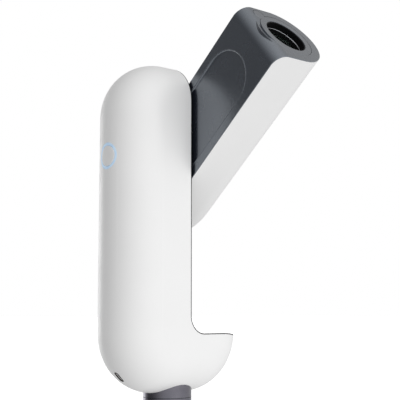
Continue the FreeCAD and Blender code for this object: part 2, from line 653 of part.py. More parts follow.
# ---------------------------------------------------------------- power button and light ring
button_line = (0, 0, "button_up")
BUTTON_REACH = 14  # from a button part's back face to beyond the case's rim
button_start = f"button_back - {BUTTON_REACH}"
piece("light_ring", shared("LightRing", [
    case_outside, ring("LightRingTube", "ring_inner", "ring_outer", button_start,
                       "button_back", button_line, "X")]))
button_face = shared("ButtonFace", [
    case_outside, rod("ButtonCore", "button_radius", BUTTON_REACH,
                      (button_start, 0, "button_up"), "X")])
piece("power_button", fused("PowerButton", [
    button_face, rod("ButtonPlunger", "plunger_radius", "plunger_length",
                     ("button_back", 0, "button_up"), "X")]))
POST_SPOTS = [(0, f"{side} * post_offset", f"button_up + {up} * post_offset")
              for side in (-1, 1) for up in (-1, 1)]
frame_front, switch_back = "button_back + frame_height", "button_back + frame_height + button_post"
piece("button_frame", fused("ButtonFrame", [
    ring("ButtonFrameRing", "ring_inner", "button_frame", "button_back", frame_front,
         button_line, "X"),
    bores("ButtonPosts", POST_SPOTS, "X", frame_front, "bolt", "button_post")]))
piece("switch_board", fused("SwitchBoard", [
    block("SwitchSheet", (switch_back, "-switch_side", "button_up - switch_up"),
          (f"{switch_back} + sheet", "switch_side", "button_up + switch_up")),
    block("SwitchCase", (f"{switch_back} - switch_height", "-switch_half",
                         "button_up - switch_half"),
          (switch_back, "switch_half", "button_up + switch_half"))]))

# ---------------------------------------------------------------- charging port
piece("charge_port", port_piece(slot_prism("ChargePort", "plug_length", "plug_width",
                                           "plug_height"), PLUG_BACK))
contacts = []
for number in range(-2, 3):
    pin = doc.addObject("Part::Cylinder", f"ChargeContact{number + 3}")
    bind(pin, {"Radius": "contact_radius", "Height": "contact_height"})
    contacts.append(port_piece(pin, PLUG_FRONT, size("contact_pitch") * number))
piece("charge_contacts", group("ChargeContacts", contacts))

# ---------------------------------------------------------------- arm case, drawn parked
MOUTH = "(pivot_up - arm_reach)"
POCKET_TOP = f"{MOUTH} + front_ring_height"
LOBE_AT = ("lens_axis + lobe_across", "lobe_along")
COVER_SPOTS = [(0, side, up) for side in (-19, 19) for up in (120, 240, 362)]
MAGNET_SPOTS = [(f"lens_axis + {across}", along, 0)
                for across, along in circle_spots(3, size("magnet_circle"), math.pi / 3)]


def lens_ring(name, inner, outer, bottom, top):
    """Plain ring about the lens axis."""
    return ring(name, inner, outer, bottom, top, ("lens_axis", 0, 0))


def lens_rod(name, radius, bottom, length, centre=("lens_axis", 0)):
    """Cylinder that stands along the lens axis, or along another line beside it."""
    return rod(name, radius, length, (*centre, bottom))


arm_case = cut("ArmCase", shared("ArmCaseRegion", [case_outside, arm_edge]), case_inside)
arm_piece("arm_shell", softened("ArmShell", arm_case, size("shell_edge"),
                                lambda edge: lies_on(edge, (case_outside, arm_edge))))

ROOM_HEIGHT = size("recess_depth") + 5
recess_length = "recess_reach + 2 * recess_radius"
recess_pose = Placement(Vector(0, 0, size("pivot_up") - size("recess_reach") / 2),
                        Rotation(Vector(0, 1, 0), 90))
recess_floor = slot_prism("RecessFloor", f"{recess_length} + 2 * lining",
                          "2 * recess_radius + 2 * lining", "recess_depth + lining - 0.1")
recess_floor.Placement = Placement(Vector(size("arm_face") + 0.1, 0, 0),
                                   Rotation()).multiply(recess_pose)
recess_room = slot_prism("RecessRoom", recess_length, "2 * recess_radius", ROOM_HEIGHT)
round_edges(recess_room, recess_room.Tip, "RecessRoomCove", "recess_depth - 0.2",
            lambda edge: edge.BoundBox.ZMin > ROOM_HEIGHT - 0.1)
recess_room.Placement = Placement(
    Vector(size("arm_face") + size("recess_depth") - ROOM_HEIGHT, 0, 0),
    Rotation()).multiply(recess_pose)

cover_edge = cut("CoverEdge", shared("CoverEdgeRegion", [case_outside, arm_side]), arm_edge)
cover_wall = cut("CoverWall", shared("CoverWallRegion", [case_inside, arm_side]), arm_lining)
cover_back = "(arm_face + lining - 0.2)"
cover_posts = [rod(f"CoverPost{number}", "post_radius", f"frame_near - {cover_back}",
                   (cover_back, spot[1], spot[2]), "X")
               for number, spot in enumerate(COVER_SPOTS, start=1)]
boss_start = f"{MOUTH} + boss_bottom"
lens_boss = shared("LensBoss", [case_inside, fused("LensBossBlank", [
    lens_rod("LensBossRound", "boss_plate", boss_start, "boss_height"),
    lens_rod("LensBossLobe", "boss_lobe", boss_start, "boss_height", LOBE_AT)])])
cover_blank = fused("CoverBlank", [cover_edge, cover_wall, recess_floor, lens_boss]
                    + cover_posts)
pocket_height = f"{OVER} + front_ring_height"
cover_plain = cut(
    "ArmCoverPlain", cover_blank, recess_room,
    bores("CoverBores", COVER_SPOTS, "X", 5, BOLT_HOLE, 10),
    rod("CoverShaftWay", "boss_radius + boss_gap", OVER, ("boss_back", 0, "pivot_up"), "X"),
    lens_rod("RingPocket", "front_ring + front_ring_gap", f"{MOUTH} - {OVER}", pocket_height),
    lens_rod("LobePocket", "lobe_radius + front_ring_gap", f"{MOUTH} - {OVER}", pocket_height,
             LOBE_AT),
    lens_rod("TubeWay", "tube_outer + running_gap", f"{MOUTH} - 5", 30),
    bores("MagnetPockets", MAGNET_SPOTS, "Z", MOUTH, "magnet_radius + seat_gap",
          "front_ring_height + magnet_height + 2 * running_gap"))
arm_piece("arm_cover", softened("ArmCover", cover_plain, size("cover_edge"),
                                lambda edge: lies_on(edge, (case_outside, arm_side))))

ring_plain = cut(
    "FrontRingPlain", fused("FrontRingBlank", [
        lens_rod("FrontRingRound", "front_ring", MOUTH, "front_ring_height"),
        lens_rod("FrontRingLobe", "lobe_radius", MOUTH, "front_ring_height", LOBE_AT),
        lens_rod("FrontRingSleeve", "tube_outer", MOUTH, "front_ring_height + ring_sleeve")]),
    lens_rod("FrontRingBore", "lens_bore", f"{MOUTH} - 5", OVER))
arm_piece("front_ring", softened("FrontRing", ring_plain, size("cover_edge"),
                                 lambda edge: edge.BoundBox.ZMax < evaluate(MOUTH) + 0.01))
arm_piece("ring_magnets", bores("RingMagnets", MAGNET_SPOTS, "Z",
                                f"{POCKET_TOP} + running_gap", "magnet_radius",
                                "magnet_height"))

# ---------------------------------------------------------------- altitude shaft and arm frame
SHAFT_SPOTS = [(0, across, f"pivot_up + {up}")
               for across, up in circle_spots(4, size("shaft_bolts"), math.pi / 4)]

shaft_blank = turned("ShaftBlank", [
    ("shaft_bore", "shaft_end"), ("shaft_radius", "shaft_end"), ("shaft_radius", "boss_back"),
    ("boss_radius", "boss_back"), ("boss_radius", "shaft_flange_back"),
    ("shaft_flange", "shaft_flange_back"), ("shaft_flange", "frame_near"),
    ("shaft_bore", "frame_near")], pivot, "X")
bolt_start = "shaft_flange_back + 1"
arm_piece("altitude_shaft", cut("AltitudeShaft", shaft_blank,
                                bores("ShaftBores", SHAFT_SPOTS, "X", bolt_start, BOLT_HOLE, 8)))

wheel = doc.addObject("Part::Feature", "AltitudeGear")
wheel.Shape = gear(int(size("altitude_teeth")), size("wheel_width"),
                   size("shaft_radius") + size("seat_gap"))
wheel.Placement = Placement(
    Vector(size("wheel_back"), 0, size("pivot_up")),
    Rotation(Vector(1, 0, 0), size("raised_turn")).multiply(TURN_TO["X"]))
arm_piece("altitude_gear", wheel)

frame_blank = fused("ArmFrameBlank", [
    block("ArmFramePlate", ("frame_near", "-frame_side", "frame_bottom"),
          ("frame_far", "frame_side", "frame_top")),
    block("ArmFrameFoot", ("frame_far", "-foot_side", "foot_bottom"),
          ("lens_axis - focus_side", "foot_side", "foot_top"))])
arm_piece("arm_frame", cut(
    "ArmFrame", frame_blank,
    rod("CableWay", "shaft_bore", OVER, (5, 0, "pivot_up"), "X"),
    bores("FrameShaftBores", SHAFT_SPOTS, "X", bolt_start, BOLT_HOLE, 8),
    bores("FrameCoverBores", COVER_SPOTS, "X", bolt_start, BOLT_HOLE, 8)))
arm_piece("arm_screws", group("ArmScrews", [
    screws("ShaftScrews", SHAFT_SPOTS, "X", "frame_far", ("bolt_head", "head_height"),
           ("bolt", -6.5)),
    screws("CoverScrews", COVER_SPOTS, "X", "frame_far", ("bolt_head", "head_height"),
           ("bolt", -8.5))]))


def tube_clamp(name, bottom):
    """Band round the lens tube with a foot on the arm frame."""
    top, way = f"{bottom} + clamp_width", "tube_outer + running_gap"
    band = lens_ring(name + "Band", way, "clamp_outer", bottom, top)
    foot = block(name + "Foot", ("frame_far", "-foot_side", bottom),
                 ("clamp_foot", "foot_side", top))
    return cut(name, fused(name + "Blank", [band, foot]),
               lens_rod(name + "Bore", way, bottom, 2 * OVER))


arm_piece("tube_clamps", group("TubeClamps", [tube_clamp("TubeClampLow", 140),
                                              tube_clamp("TubeClampHigh", 262)]))

# ---------------------------------------------------------------- optics
GLASS_FRONT = f"({MOUTH} + cell_depth)"
GLASS_FIT = "glass_radius - seat_gap"
TUBE_FIT = "tube_bore - seat_gap"


def ball(name, radius, up):
    """Sphere centred on the lens axis, for a polished face."""
    sphere = doc.addObject("Part::Sphere", name)
    bind(sphere, {"Radius": radius})
    return put(sphere, ("lens_axis", 0, up))


def convex_lens(name, radius, curve, front, thick):
    """Lens with two bulging faces of equal curve."""
    return shared(name, [
        lens_rod(name + "Edge", radius, f"{front} - {OVER}", 3 * OVER),
        ball(name + "Front", curve, f"{front} + {curve}"),
        ball(name + "Back", curve, f"{front} + {thick} - {curve}")])


arm_piece("lens_tube", lens_ring("LensTube", "tube_bore", "tube_outer",
                                 f"{POCKET_TOP} + ring_sleeve + 2 * running_gap",
                                 "tube_top"))
arm_piece("lens_retainer", lens_ring("LensRetainer", "glass_radius - retainer_lip", TUBE_FIT,
                                     f"{GLASS_FRONT} - retainer_height", GLASS_FRONT))
arm_piece("objective_cell", lens_ring("ObjectiveCell", "glass_radius", TUBE_FIT, GLASS_FRONT,
                                      f"{GLASS_FRONT} + objective_length"))
arm_piece("objective_crown", convex_lens("ObjectiveCrown", GLASS_FIT, "crown_curve",
                                         GLASS_FRONT, "crown_height"))
flint_blank = lens_rod("FlintBlank", GLASS_FIT, f"{GLASS_FRONT} + flint_front", "flint_height")
arm_piece("objective_flint", cut(
    "ObjectiveFlint", flint_blank,
    ball("FlintFront", "crown_curve", f"{GLASS_FRONT} + crown_height + flint_gap - crown_curve")))
arm_piece("dew_heater", lens_ring("DewHeater", "tube_outer", "heater_outer", GLASS_FRONT,
                                  f"{GLASS_FRONT} + objective_length"))
arm_piece("rear_cell", lens_ring("RearCell", "rear_radius", TUBE_FIT, "tube_top - rear_cell",
                                 "tube_top"))
arm_piece("rear_lens", convex_lens("RearLens", "rear_radius - seat_gap", "rear_curve",
                                   "(tube_top - rear_inset)", "rear_height"))

# ---------------------------------------------------------------- focuser and camera
GUIDE_SPOTS = [(f"lens_axis + {side} * guide_side", "guide_side", 0) for side in (-1, 1)]
SCREW_AT = ("lens_axis", "screw_along")


def beside_lens(name, half, low, high, bottom, top):
    """Block that reaches equally far to both sides of the lens axis."""
    return block(name, (f"lens_axis - {half}", low, bottom), (f"lens_axis + {half}", high, top))


housing_walls = [
    block(name, (f"lens_axis + {near}", "-focus_depth", "tube_top + focus_plate"),
          (f"lens_axis + {far}", "focus_depth", "focus_back"))
    for name, near, far in (("FocusSideNear", "-focus_side", "focus_web - focus_side"),
                            ("FocusSideFar", "focus_side - focus_web", "focus_side"))]
housing_blank = fused("FocusHousingBlank", [
    beside_lens("FocusFrontPlate", "focus_side", "-focus_side", "focus_side", "tube_top",
                "tube_top + focus_plate"),
    beside_lens("FocusBackPlate", "focus_side", "-focus_side", "focus_side", "focus_back",
                "focus_back + focus_plate")] + housing_walls)
arm_piece("focus_housing", cut(
    "FocusHousing", housing_blank,
    lens_rod("LightWay", "rear_radius", "tube_top - 2", 10),
    lens_rod("ScrewWay", "screw_radius + boss_gap", "focus_back - 2", 10, SCREW_AT),
    bores("GuideBores", GUIDE_SPOTS, "Z", "guide_bottom", "guide_radius + seat_gap",
          "guide_length")))
arm_piece("focus_guides", bores("FocusGuides", GUIDE_SPOTS, "Z", "guide_bottom",
                                "guide_radius", "guide_length"))
arm_piece("focus_carriage", cut(
    "FocusCarriage", fused("CarriageBlank", [
        beside_lens("CarriagePlate", "carriage_side", "-carriage_side", "carriage_side",
                    "carriage_up", "carriage_up + carriage_plate"),
        lens_rod("CarriageNut", "nut_outer", "carriage_up", "nut_length", SCREW_AT)]),
    lens_rod("NutBore", "screw_radius + running_gap", "carriage_up - 8", 30, SCREW_AT),
    bores("CarriageBores", GUIDE_SPOTS, "Z", "carriage_up - 8", "guide_radius + running_gap",
          30)))
sensor_back = "carriage_up - sensor_sheet"
arm_piece("image_sensor", fused("ImageSensor", [
    beside_lens("SensorSheet", "sensor_side", "sensor_low", "sensor_high", sensor_back,
                "carriage_up"),
    beside_lens("SensorChip", "chip_side", "-chip_depth", "chip_depth",
                f"{sensor_back} - chip_height", sensor_back)]))
arm_piece("focus_screw", lens_rod("FocusScrew", "screw_radius", "screw_bottom", "screw_length",
                                  SCREW_AT))
screw_bore, can_bottom = "screw_radius + 2 * running_gap", "focus_back + focus_plate"
arm_piece("focus_motor", turned("FocusMotor", [
    (screw_bore, can_bottom), ("focus_can", can_bottom), ("focus_can", "focus_can_top"),
    (0, "focus_can_top"), (0, "focus_shaft_top"), (screw_bore, "focus_shaft_top")],
    (*SCREW_AT, 0)))
sink_top = f"{can_bottom} + sink_base"
arm_piece("heat_sink", fused("HeatSink", [
    beside_lens("HeatSinkBase", "sink_side", "sink_low", "sink_high", can_bottom, sink_top)] + [
    beside_lens(f"HeatSinkFin{number}", "sink_side", f"sink_low + {number} * fin_pitch",
                f"sink_low + {number} * fin_pitch + sheet", sink_top,
                f"{can_bottom} + sink_height") for number in range(5)]))

# ---------------------------------------------------------------- check and write
doc.recompute()
faults = [thing.Label for thing in doc.Objects
          if "Invalid" in thing.State or "Error" in thing.State]
faults += [label for label, thing in pieces.items()
           if thing.Shape.isNull() or not thing.Shape.isValid() or not thing.Shape.Solids]
if faults:
    raise RuntimeError(f"faulty sub-parts: {faults}")

os.makedirs("parts", exist_ok=True)
for label, thing in pieces.items():
    thing.Shape.exportStep(f"parts/{label}.step")
    print(f"{label}: {len(thing.Shape.Solids)} solids, {thing.Shape.Volume / 1000:.1f} cm3")
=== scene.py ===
"""Looks for a compact smart telescope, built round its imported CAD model.

The case, the arm and the works inside keep their CAD shapes and get new finishes. The power
button, the light ring, the lens barrel, the base fittings and the charging port are surfaces
worked out here. All lengths are metres unless a name ends in mm.
"""
from __future__ import annotations

import json
import logging
import math
from dataclasses import dataclass
from enum import Enum
from typing import Any

import bmesh
import bpy
import numpy as np
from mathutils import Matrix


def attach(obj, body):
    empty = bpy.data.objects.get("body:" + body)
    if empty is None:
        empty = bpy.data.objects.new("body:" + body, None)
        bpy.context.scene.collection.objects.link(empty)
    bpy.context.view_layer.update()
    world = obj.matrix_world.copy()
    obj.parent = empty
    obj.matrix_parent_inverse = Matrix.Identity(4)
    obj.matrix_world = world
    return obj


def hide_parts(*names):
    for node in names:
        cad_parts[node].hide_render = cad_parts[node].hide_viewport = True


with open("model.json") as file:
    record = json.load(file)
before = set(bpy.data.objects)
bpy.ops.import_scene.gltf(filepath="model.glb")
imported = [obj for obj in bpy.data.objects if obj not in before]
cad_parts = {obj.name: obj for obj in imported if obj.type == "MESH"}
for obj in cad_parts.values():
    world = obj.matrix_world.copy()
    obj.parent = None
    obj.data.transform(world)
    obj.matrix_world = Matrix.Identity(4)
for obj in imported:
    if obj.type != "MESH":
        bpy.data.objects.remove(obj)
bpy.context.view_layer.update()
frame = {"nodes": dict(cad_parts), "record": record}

MM = 0.001
SAME_SPOT = 1e-6
LOG = logging.getLogger("telescope")
Array = np.ndarray


# ------------------------------------------------------------------ colours and shader nodes
def linear(colour: str) -> tuple[float, float, float, float]:
    """Turn an sRGB hex colour into linear RGBA.

    Args:
        colour: six hex digits after a hash sign.

    Returns:
        Linear red, green and blue, with an alpha of one.
    """
    shares = [int(colour[start:start + 2], 16) / 255 for start in (1, 3, 5)]
    return (*[share / 12.92 if share <= 0.04045 else ((share + 0.055) / 1.055) ** 2.4
              for share in shares], 1.0)


def add_node(tree: bpy.types.NodeTree, kind: str, sockets: dict[Any, Any] | None = None,
             **settings: Any) -> bpy.types.Node:
    """Add one shader node with its settings and links.

    Args:
        tree: node tree that gets the node.
        kind: node type.
        sockets: input name or number, with an output socket to link or a value to set.
        settings: properties of the node itself.

    Returns:
        The new node.
    """
    node = tree.nodes.new(kind)
    for name, value in settings.items():
        setattr(node, name, value)
    for key, value in (sockets or {}).items():
        if isinstance(value, bpy.types.NodeSocket):
            tree.links.new(value, node.inputs[key])
        else:
            node.inputs[key].default_value = value
    return node


# A noise pattern's values crowd round its middle, so this span of it is taken as the whole.
NOISE_LOW, NOISE_HIGH = 0.3, 0.7
# Blender draws this many bands of a wave pattern in each unit of its scale.
WAVE_BANDS = 20


@dataclass(frozen=True)
class Finish:
    """What every finish has: the real material's name and its typical constants."""

    name: str
    colour: str
    roughness: float
    ior: float = 1.5
    metallic: float = 0.0
    specular: float = 0.5

    def build(self) -> bpy.types.Material:
        """Make the material, with the pattern that the kind of finish adds."""
        material = bpy.data.materials.new(self.name)
        material.use_nodes = True
        tree = material.node_tree
        tree.nodes.clear()
        shader = add_node(tree, "ShaderNodeBsdfPrincipled", {
            "Base Color": linear(self.colour), "Roughness": self.roughness, "IOR": self.ior,
            "Metallic": self.metallic, "Specular IOR Level": self.specular})
        add_node(tree, "ShaderNodeOutputMaterial", {"Surface": shader.outputs["BSDF"]})
        self.dress(tree, shader)
        return material

    def dress(self, tree: bpy.types.NodeTree, shader: bpy.types.Node) -> None:
        """Add the pattern that this kind of finish has."""

    def place(self, tree: bpy.types.NodeTree) -> bpy.types.NodeSocket:
        """Give the object's own coordinates, in metres."""
        return add_node(tree, "ShaderNodeTexCoord").outputs["Object"]

    def noise(self, tree: bpy.types.NodeTree, vector: bpy.types.NodeSocket, grain_mm: float,
              detail: float = 2.0) -> bpy.types.NodeSocket:
        """Give a cloudy pattern whose patches are about as wide as the grain."""
        return add_node(tree, "ShaderNodeTexNoise", {
            "Vector": vector, "Scale": 1 / (grain_mm * MM), "Detail": detail}).outputs["Fac"]

    def spread(self, tree: bpy.types.NodeTree, value: bpy.types.NodeSocket, low: float,
               high: float) -> bpy.types.NodeSocket:
        """Stretch the middle of a pattern to reach from a low to a high value."""
        return add_node(tree, "ShaderNodeMapRange", {
            "Value": value, "From Min": NOISE_LOW, "From Max": NOISE_HIGH, "To Min": low,
            "To Max": high}).outputs["Result"]

    def blend(self, tree: bpy.types.NodeTree, share: bpy.types.NodeSocket, first: str,
              second: str) -> bpy.types.NodeSocket:
        """Mix two colours by a pattern."""
        mix = add_node(tree, "ShaderNodeMix", {
            0: share, 6: linear(first), 7: linear(second)}, data_type="RGBA")
        return mix.outputs[2]

    def emboss(self, tree: bpy.types.NodeTree, height: bpy.types.NodeSocket, depth_mm: float,
               shader: bpy.types.Node) -> None:
        """Raise the surface by a pattern, as deep as the real one."""
        bump = add_node(tree, "ShaderNodeBump", {
            "Height": height, "Distance": depth_mm * MM, "Strength": 1.0})
        tree.links.new(bump.outputs["Normal"], shader.inputs["Normal"])


@dataclass(frozen=True)
class MouldedPlastic(Finish):
    """Injection-moulded plastic: eroded mould grain, and slow drifts in gloss and tone."""

    drift: str = "#ffffff"
    tone_mm: float = 60
    gloss_mm: float = 24
    fine_detail: float = 3
    grain_mm: float = 1.2
    grain_depth_mm: float = 0.004
    gloss_swing: float = 0.04
    lacquer: float = 0.0
    lacquer_ior: float = 1.5
    mirror_tint: str = "#ffffff"

    def dress(self, tree: bpy.types.NodeTree, shader: bpy.types.Node) -> None:
        """Add mould grain, tone drift, gloss drift and a clear lacquer where it has one."""
        place = self.place(tree)
        shader.inputs["Coat Weight"].default_value = self.lacquer
        shader.inputs["Coat Roughness"].default_value = self.roughness
        shader.inputs["Coat IOR"].default_value = self.lacquer_ior
        shader.inputs["Specular Tint"].default_value = linear(self.mirror_tint)
        slow = self.noise(tree, place, self.tone_mm, self.fine_detail)
        tree.links.new(self.blend(tree, self.spread(tree, slow, 0, 1), self.colour, self.drift),
                       shader.inputs["Base Color"])
        gloss = self.spread(tree, self.noise(tree, place, self.gloss_mm, self.fine_detail),
                            self.roughness - self.gloss_swing, self.roughness + self.gloss_swing)
        tree.links.new(gloss, shader.inputs["Roughness"])
        grain = self.noise(tree, place, self.grain_mm, self.fine_detail)
        self.emboss(tree, grain, self.grain_depth_mm, shader)


@dataclass(frozen=True)
class TurnedMetal(Finish):
    """Metal cut on a lathe: fine lines that run round an axis."""

    drift: str = "#ffffff"
    tone_mm: float = 14
    line_mm: float = 0.35
    line_depth_mm: float = 0.004
    gloss_swing: float = 0.05
    centre: tuple[float, float, float] = (0.0, 0.0, 0.0)
    tilt: float = 0.0

    def dress(self, tree: bpy.types.NodeTree, shader: bpy.types.Node) -> None:
        """Add lathe lines: noise of the distance from the axis and the height along it."""
        turned = add_node(tree, "ShaderNodeMapping", {
            "Vector": self.place(tree), "Location": self.centre,
            "Rotation": (self.tilt, 0, 0)}, vector_type="TEXTURE")
        split = add_node(tree, "ShaderNodeSeparateXYZ", {"Vector": turned.outputs["Vector"]})
        flat = add_node(tree, "ShaderNodeCombineXYZ", {
            "X": split.outputs["X"], "Y": split.outputs["Y"]})
        reach = add_node(tree, "ShaderNodeVectorMath", {0: flat.outputs["Vector"]},
                         operation="LENGTH")
        lathe = add_node(tree, "ShaderNodeCombineXYZ", {
            "X": reach.outputs["Value"], "Y": split.outputs["Z"]})
        lines = self.noise(tree, lathe.outputs["Vector"], self.line_mm)
        drift = self.spread(tree, self.noise(tree, self.place(tree), self.tone_mm), 0, 1)
        tree.links.new(self.blend(tree, drift, self.colour, self.drift),
                       shader.inputs["Base Color"])
        tree.links.new(self.spread(tree, lines, self.roughness - self.gloss_swing,
                                   self.roughness + self.gloss_swing),
                       shader.inputs["Roughness"])
        self.emboss(tree, lines, self.line_depth_mm, shader)


@dataclass(frozen=True)
class BrushedMetal(Finish):
    """Sheet or bar metal with straight brushed lines along one row axis."""

    drift: str = "#ffffff"
    line_mm: float = 0.4
    stretch: float = 40.0
    line_depth_mm: float = 0.003

    def dress(self, tree: bpy.types.NodeTree, shader: bpy.types.Node) -> None:
        """Add lines: noise squeezed hard along the brushing, which is the row's Z axis."""
        squeezed = add_node(tree, "ShaderNodeMapping", {
            "Vector": self.place(tree), "Scale": (1, 1, 1 / self.stretch)})
        lines = self.noise(tree, squeezed.outputs["Vector"], self.line_mm)
        tree.links.new(self.blend(tree, self.spread(tree, lines, 0, 1), self.colour, self.drift),
                       shader.inputs["Base Color"])
        self.emboss(tree, lines, self.line_depth_mm, shader)


@dataclass(frozen=True)
class Elastomer(Finish):
    """Moulded rubber: dull, with a dusting of paler bloom."""

    bloom: str = "#303032"
    bloom_mm: float = 9
    bloom_detail: float = 4
    pebble_mm: float = 0.8
    pebble_depth_mm: float = 0.02

    def dress(self, tree: bpy.types.NodeTree, shader: bpy.types.Node) -> None:
        """Add bloom in patches and a fine pebbled skin."""
        place = self.place(tree)
        patch = self.spread(tree, self.noise(tree, place, self.bloom_mm, self.bloom_detail),
                            0, 1)
        tree.links.new(self.blend(tree, patch, self.colour, self.bloom),
                       shader.inputs["Base Color"])
        self.emboss(tree, self.noise(tree, place, self.pebble_mm), self.pebble_depth_mm, shader)


@dataclass(frozen=True)
class CoatedGlass(Finish):
    """Polished optical glass with a green anti-reflection coating."""

    tint: str = "#9fd8b8"
    dust_mm: float = 3
    dust_detail: float = 4
    dust_haze: float = 0.02

    def dress(self, tree: bpy.types.NodeTree, shader: bpy.types.Node) -> None:
        """Let light through, tint what is reflected, and leave a trace of dust."""
        shader.inputs["Transmission Weight"].default_value = 1.0
        shader.inputs["Specular Tint"].default_value = linear(self.tint)
        dust = self.noise(tree, self.place(tree), self.dust_mm, self.dust_detail)
        tree.links.new(self.spread(tree, dust, self.roughness, self.roughness + self.dust_haze),
                       shader.inputs["Roughness"])


@dataclass(frozen=True)
class FrostedGuide(Finish):
    """Frosted acrylic light guide, lit from behind by cool white diodes."""

    glow: str = "#7db4e8"
    glow_near: str = "#a3cdf0"
    strength: float = 0.26
    diode_mm: float = 7
    diode_detail: float = 1
    frost_mm: float = 0.6
    frost_depth_mm: float = 0.01

    def dress(self, tree: bpy.types.NodeTree, shader: bpy.types.Node) -> None:
        """Add the glow, a little uneven between diodes, and a frosted skin."""
        place = self.place(tree)
        shader.inputs["Emission Strength"].default_value = self.strength
        uneven = self.spread(tree, self.noise(tree, place, self.diode_mm, self.diode_detail),
                             0, 1)
        tree.links.new(self.blend(tree, uneven, self.glow, self.glow_near),
                       shader.inputs["Emission Color"])
        self.emboss(tree, self.noise(tree, place, self.frost_mm), self.frost_depth_mm, shader)


@dataclass(frozen=True)
class PrintedBoard(Finish):
    """Glass-fibre circuit board: green solder mask over copper tracks."""

    track: str = "#2f7a4c"
    cell_mm: float = 3.5
    track_height_mm: float = 0.03

    def dress(self, tree: bpy.types.NodeTree, shader: bpy.types.Node) -> None:
        """Add tracks as the cell edges of a stepped pattern, a little raised."""
        cells = add_node(tree, "ShaderNodeTexVoronoi", {
            "Vector": self.place(tree), "Scale": 1 / (self.cell_mm * MM)}, distance="MANHATTAN")
        edge = self.spread(tree, cells.outputs["Distance"], 0, 1)
        tree.links.new(self.blend(tree, edge, self.colour, self.track),
                       shader.inputs["Base Color"])
        self.emboss(tree, edge, self.track_height_mm, shader)


@dataclass(frozen=True)
class WrappedFilm(Finish):
    """Thin plastic film: shrunk wrap on cells, or polyimide over a heater's copper track."""

    stripe: str = "#2a3f66"
    stripe_mm: float = 2.0
    waver: float = 2.0
    wrinkle_mm: float = 2.5
    wrinkle_depth_mm: float = 0.03

    def dress(self, tree: bpy.types.NodeTree, shader: bpy.types.Node) -> None:
        """Add bands across the film and shallow wrinkles."""
        place = self.place(tree)
        bands = add_node(tree, "ShaderNodeTexWave", {
            "Vector": place, "Scale": 1 / (self.stripe_mm * MM * WAVE_BANDS),
            "Distortion": self.waver},
            bands_direction="Z")
        tree.links.new(self.blend(tree, bands.outputs["Fac"], self.colour, self.stripe),
                       shader.inputs["Base Color"])
        self.emboss(tree, self.noise(tree, place, self.wrinkle_mm), self.wrinkle_depth_mm, shader)


# ------------------------------------------------------------------ surfaces
def shape(name: str, parts: list[tuple[Array, Array]], sharp_degrees: float = 32.0
          ) -> bpy.types.Object:
    """Make one mesh object from arrays of points and quads.

    Args:
        name: the piece's name.
        parts: pairs of points, shape (n, 3), and quads, shape (m, 4).
        sharp_degrees: edges that turn more than this stay crisp.

    Returns:
        The object, at the origin, with doubled points merged and faces outward.
    """
    points, quads, start = [], [], 0
    for spots, faces in parts:
        points.append(spots)
        quads.append(faces + start)
        start += len(spots)
    mesh = bpy.data.meshes.new(name)
    mesh.from_pydata(np.vstack(points), [], np.vstack(quads))
    thing = bpy.data.objects.new(name, mesh)
    bpy.context.scene.collection.objects.link(thing)
    tidy_mesh(mesh, sharp_degrees)
    return thing


def tidy_mesh(mesh: bpy.types.Mesh, sharp_degrees: float) -> None:
    """Merge doubles, drop faces without area, turn faces outward and smooth the shading."""
    form = bmesh.new()
    form.from_mesh(mesh)
    bmesh.ops.remove_doubles(form, verts=form.verts, dist=SAME_SPOT)
    bmesh.ops.dissolve_degenerate(form, edges=form.edges, dist=SAME_SPOT)
    bmesh.ops.recalc_face_normals(form, faces=form.faces)
    form.to_mesh(mesh)
    form.free()
    mesh.polygons.foreach_set("use_smooth", np.ones(len(mesh.polygons), bool))
    mesh.set_sharp_from_angle(angle=math.radians(sharp_degrees))


def grid(points: Array, wrap_rows: bool = False, wrap_columns: bool = False
         ) -> tuple[Array, Array]:
    """Join a grid of points, shape (rows, columns, 3), by quads.

    A quad's corners are (i, j), (i, j+1), (i+1, j+1) and (i+1, j), and an index past the end
    goes back to the start where that way is wrapped.
    """
    rows, columns = points.shape[:2]
    i, j = np.meshgrid(np.arange(rows - (not wrap_rows)),
                       np.arange(columns - (not wrap_columns)), indexing="ij")
    down, right = (i + 1) % rows, (j + 1) % columns
    corners = [i * columns + j, i * columns + right, down * columns + right, down * columns + j]
    return points.reshape(-1, 3), np.stack(corners, axis=-1).reshape(-1, 4)


@dataclass(frozen=True)
class Axis:
    """A line in space with two directions across it, for turned shapes."""

    origin: Array
    along: Array
    across: Array
    beside: Array

    @staticmethod
    def through(origin: Any, along: Any, across: Any = (1.0, 0.0, 0.0)) -> "Axis":
        """Build an axis from a point, its direction and a rough sideways direction."""
        way = np.array(along, float) / np.linalg.norm(along)
        side = np.array(across, float)
        side = side - way * (side @ way)
        side = side / np.linalg.norm(side)
        return Axis(np.array(origin, float), way, side, np.cross(way, side))

    def turned(self, radius: Array, height: Array, angle: Array) -> Array:
        """Give origin + along * height + radius * (across * cos angle + beside * sin angle)."""
        radius, height, angle = np.broadcast_arrays(radius, height, angle)
        return (self.origin + height[..., None] * self.along
                + (radius * np.cos(angle))[..., None] * self.across
                + (radius * np.sin(angle))[..., None] * self.beside)


def full_turn(steps: int) -> Array:
    """Angles of one turn as a column, without the last one that meets the first."""
    return np.linspace(0, 2 * math.pi, steps, endpoint=False)[:, None]


def carried(path: Array, first: Array, second: Array, profile_mm: Array
            ) -> tuple[Array, Array]:
    """Carry a closed profile along a closed path.

    A point is path + first * u + second * v, for each (u, v) of the profile.

    Args:
        path: points of the path in metres, shape (n, 3).
        first: direction of the profile's u at each point, shape (n, 3).
        second: direction of the profile's v at each point, shape (n, 3).
        profile_mm: (u, v) pairs in millimetres, shape (m, 2).

    Returns:
        Points and quads of the closed band.
    """
    across = profile_mm * MM
    points = (path[:, None] + first[:, None] * across[None, :, :1]
              + second[:, None] * across[None, :, 1:])
    return grid(points, wrap_rows=True, wrap_columns=True)


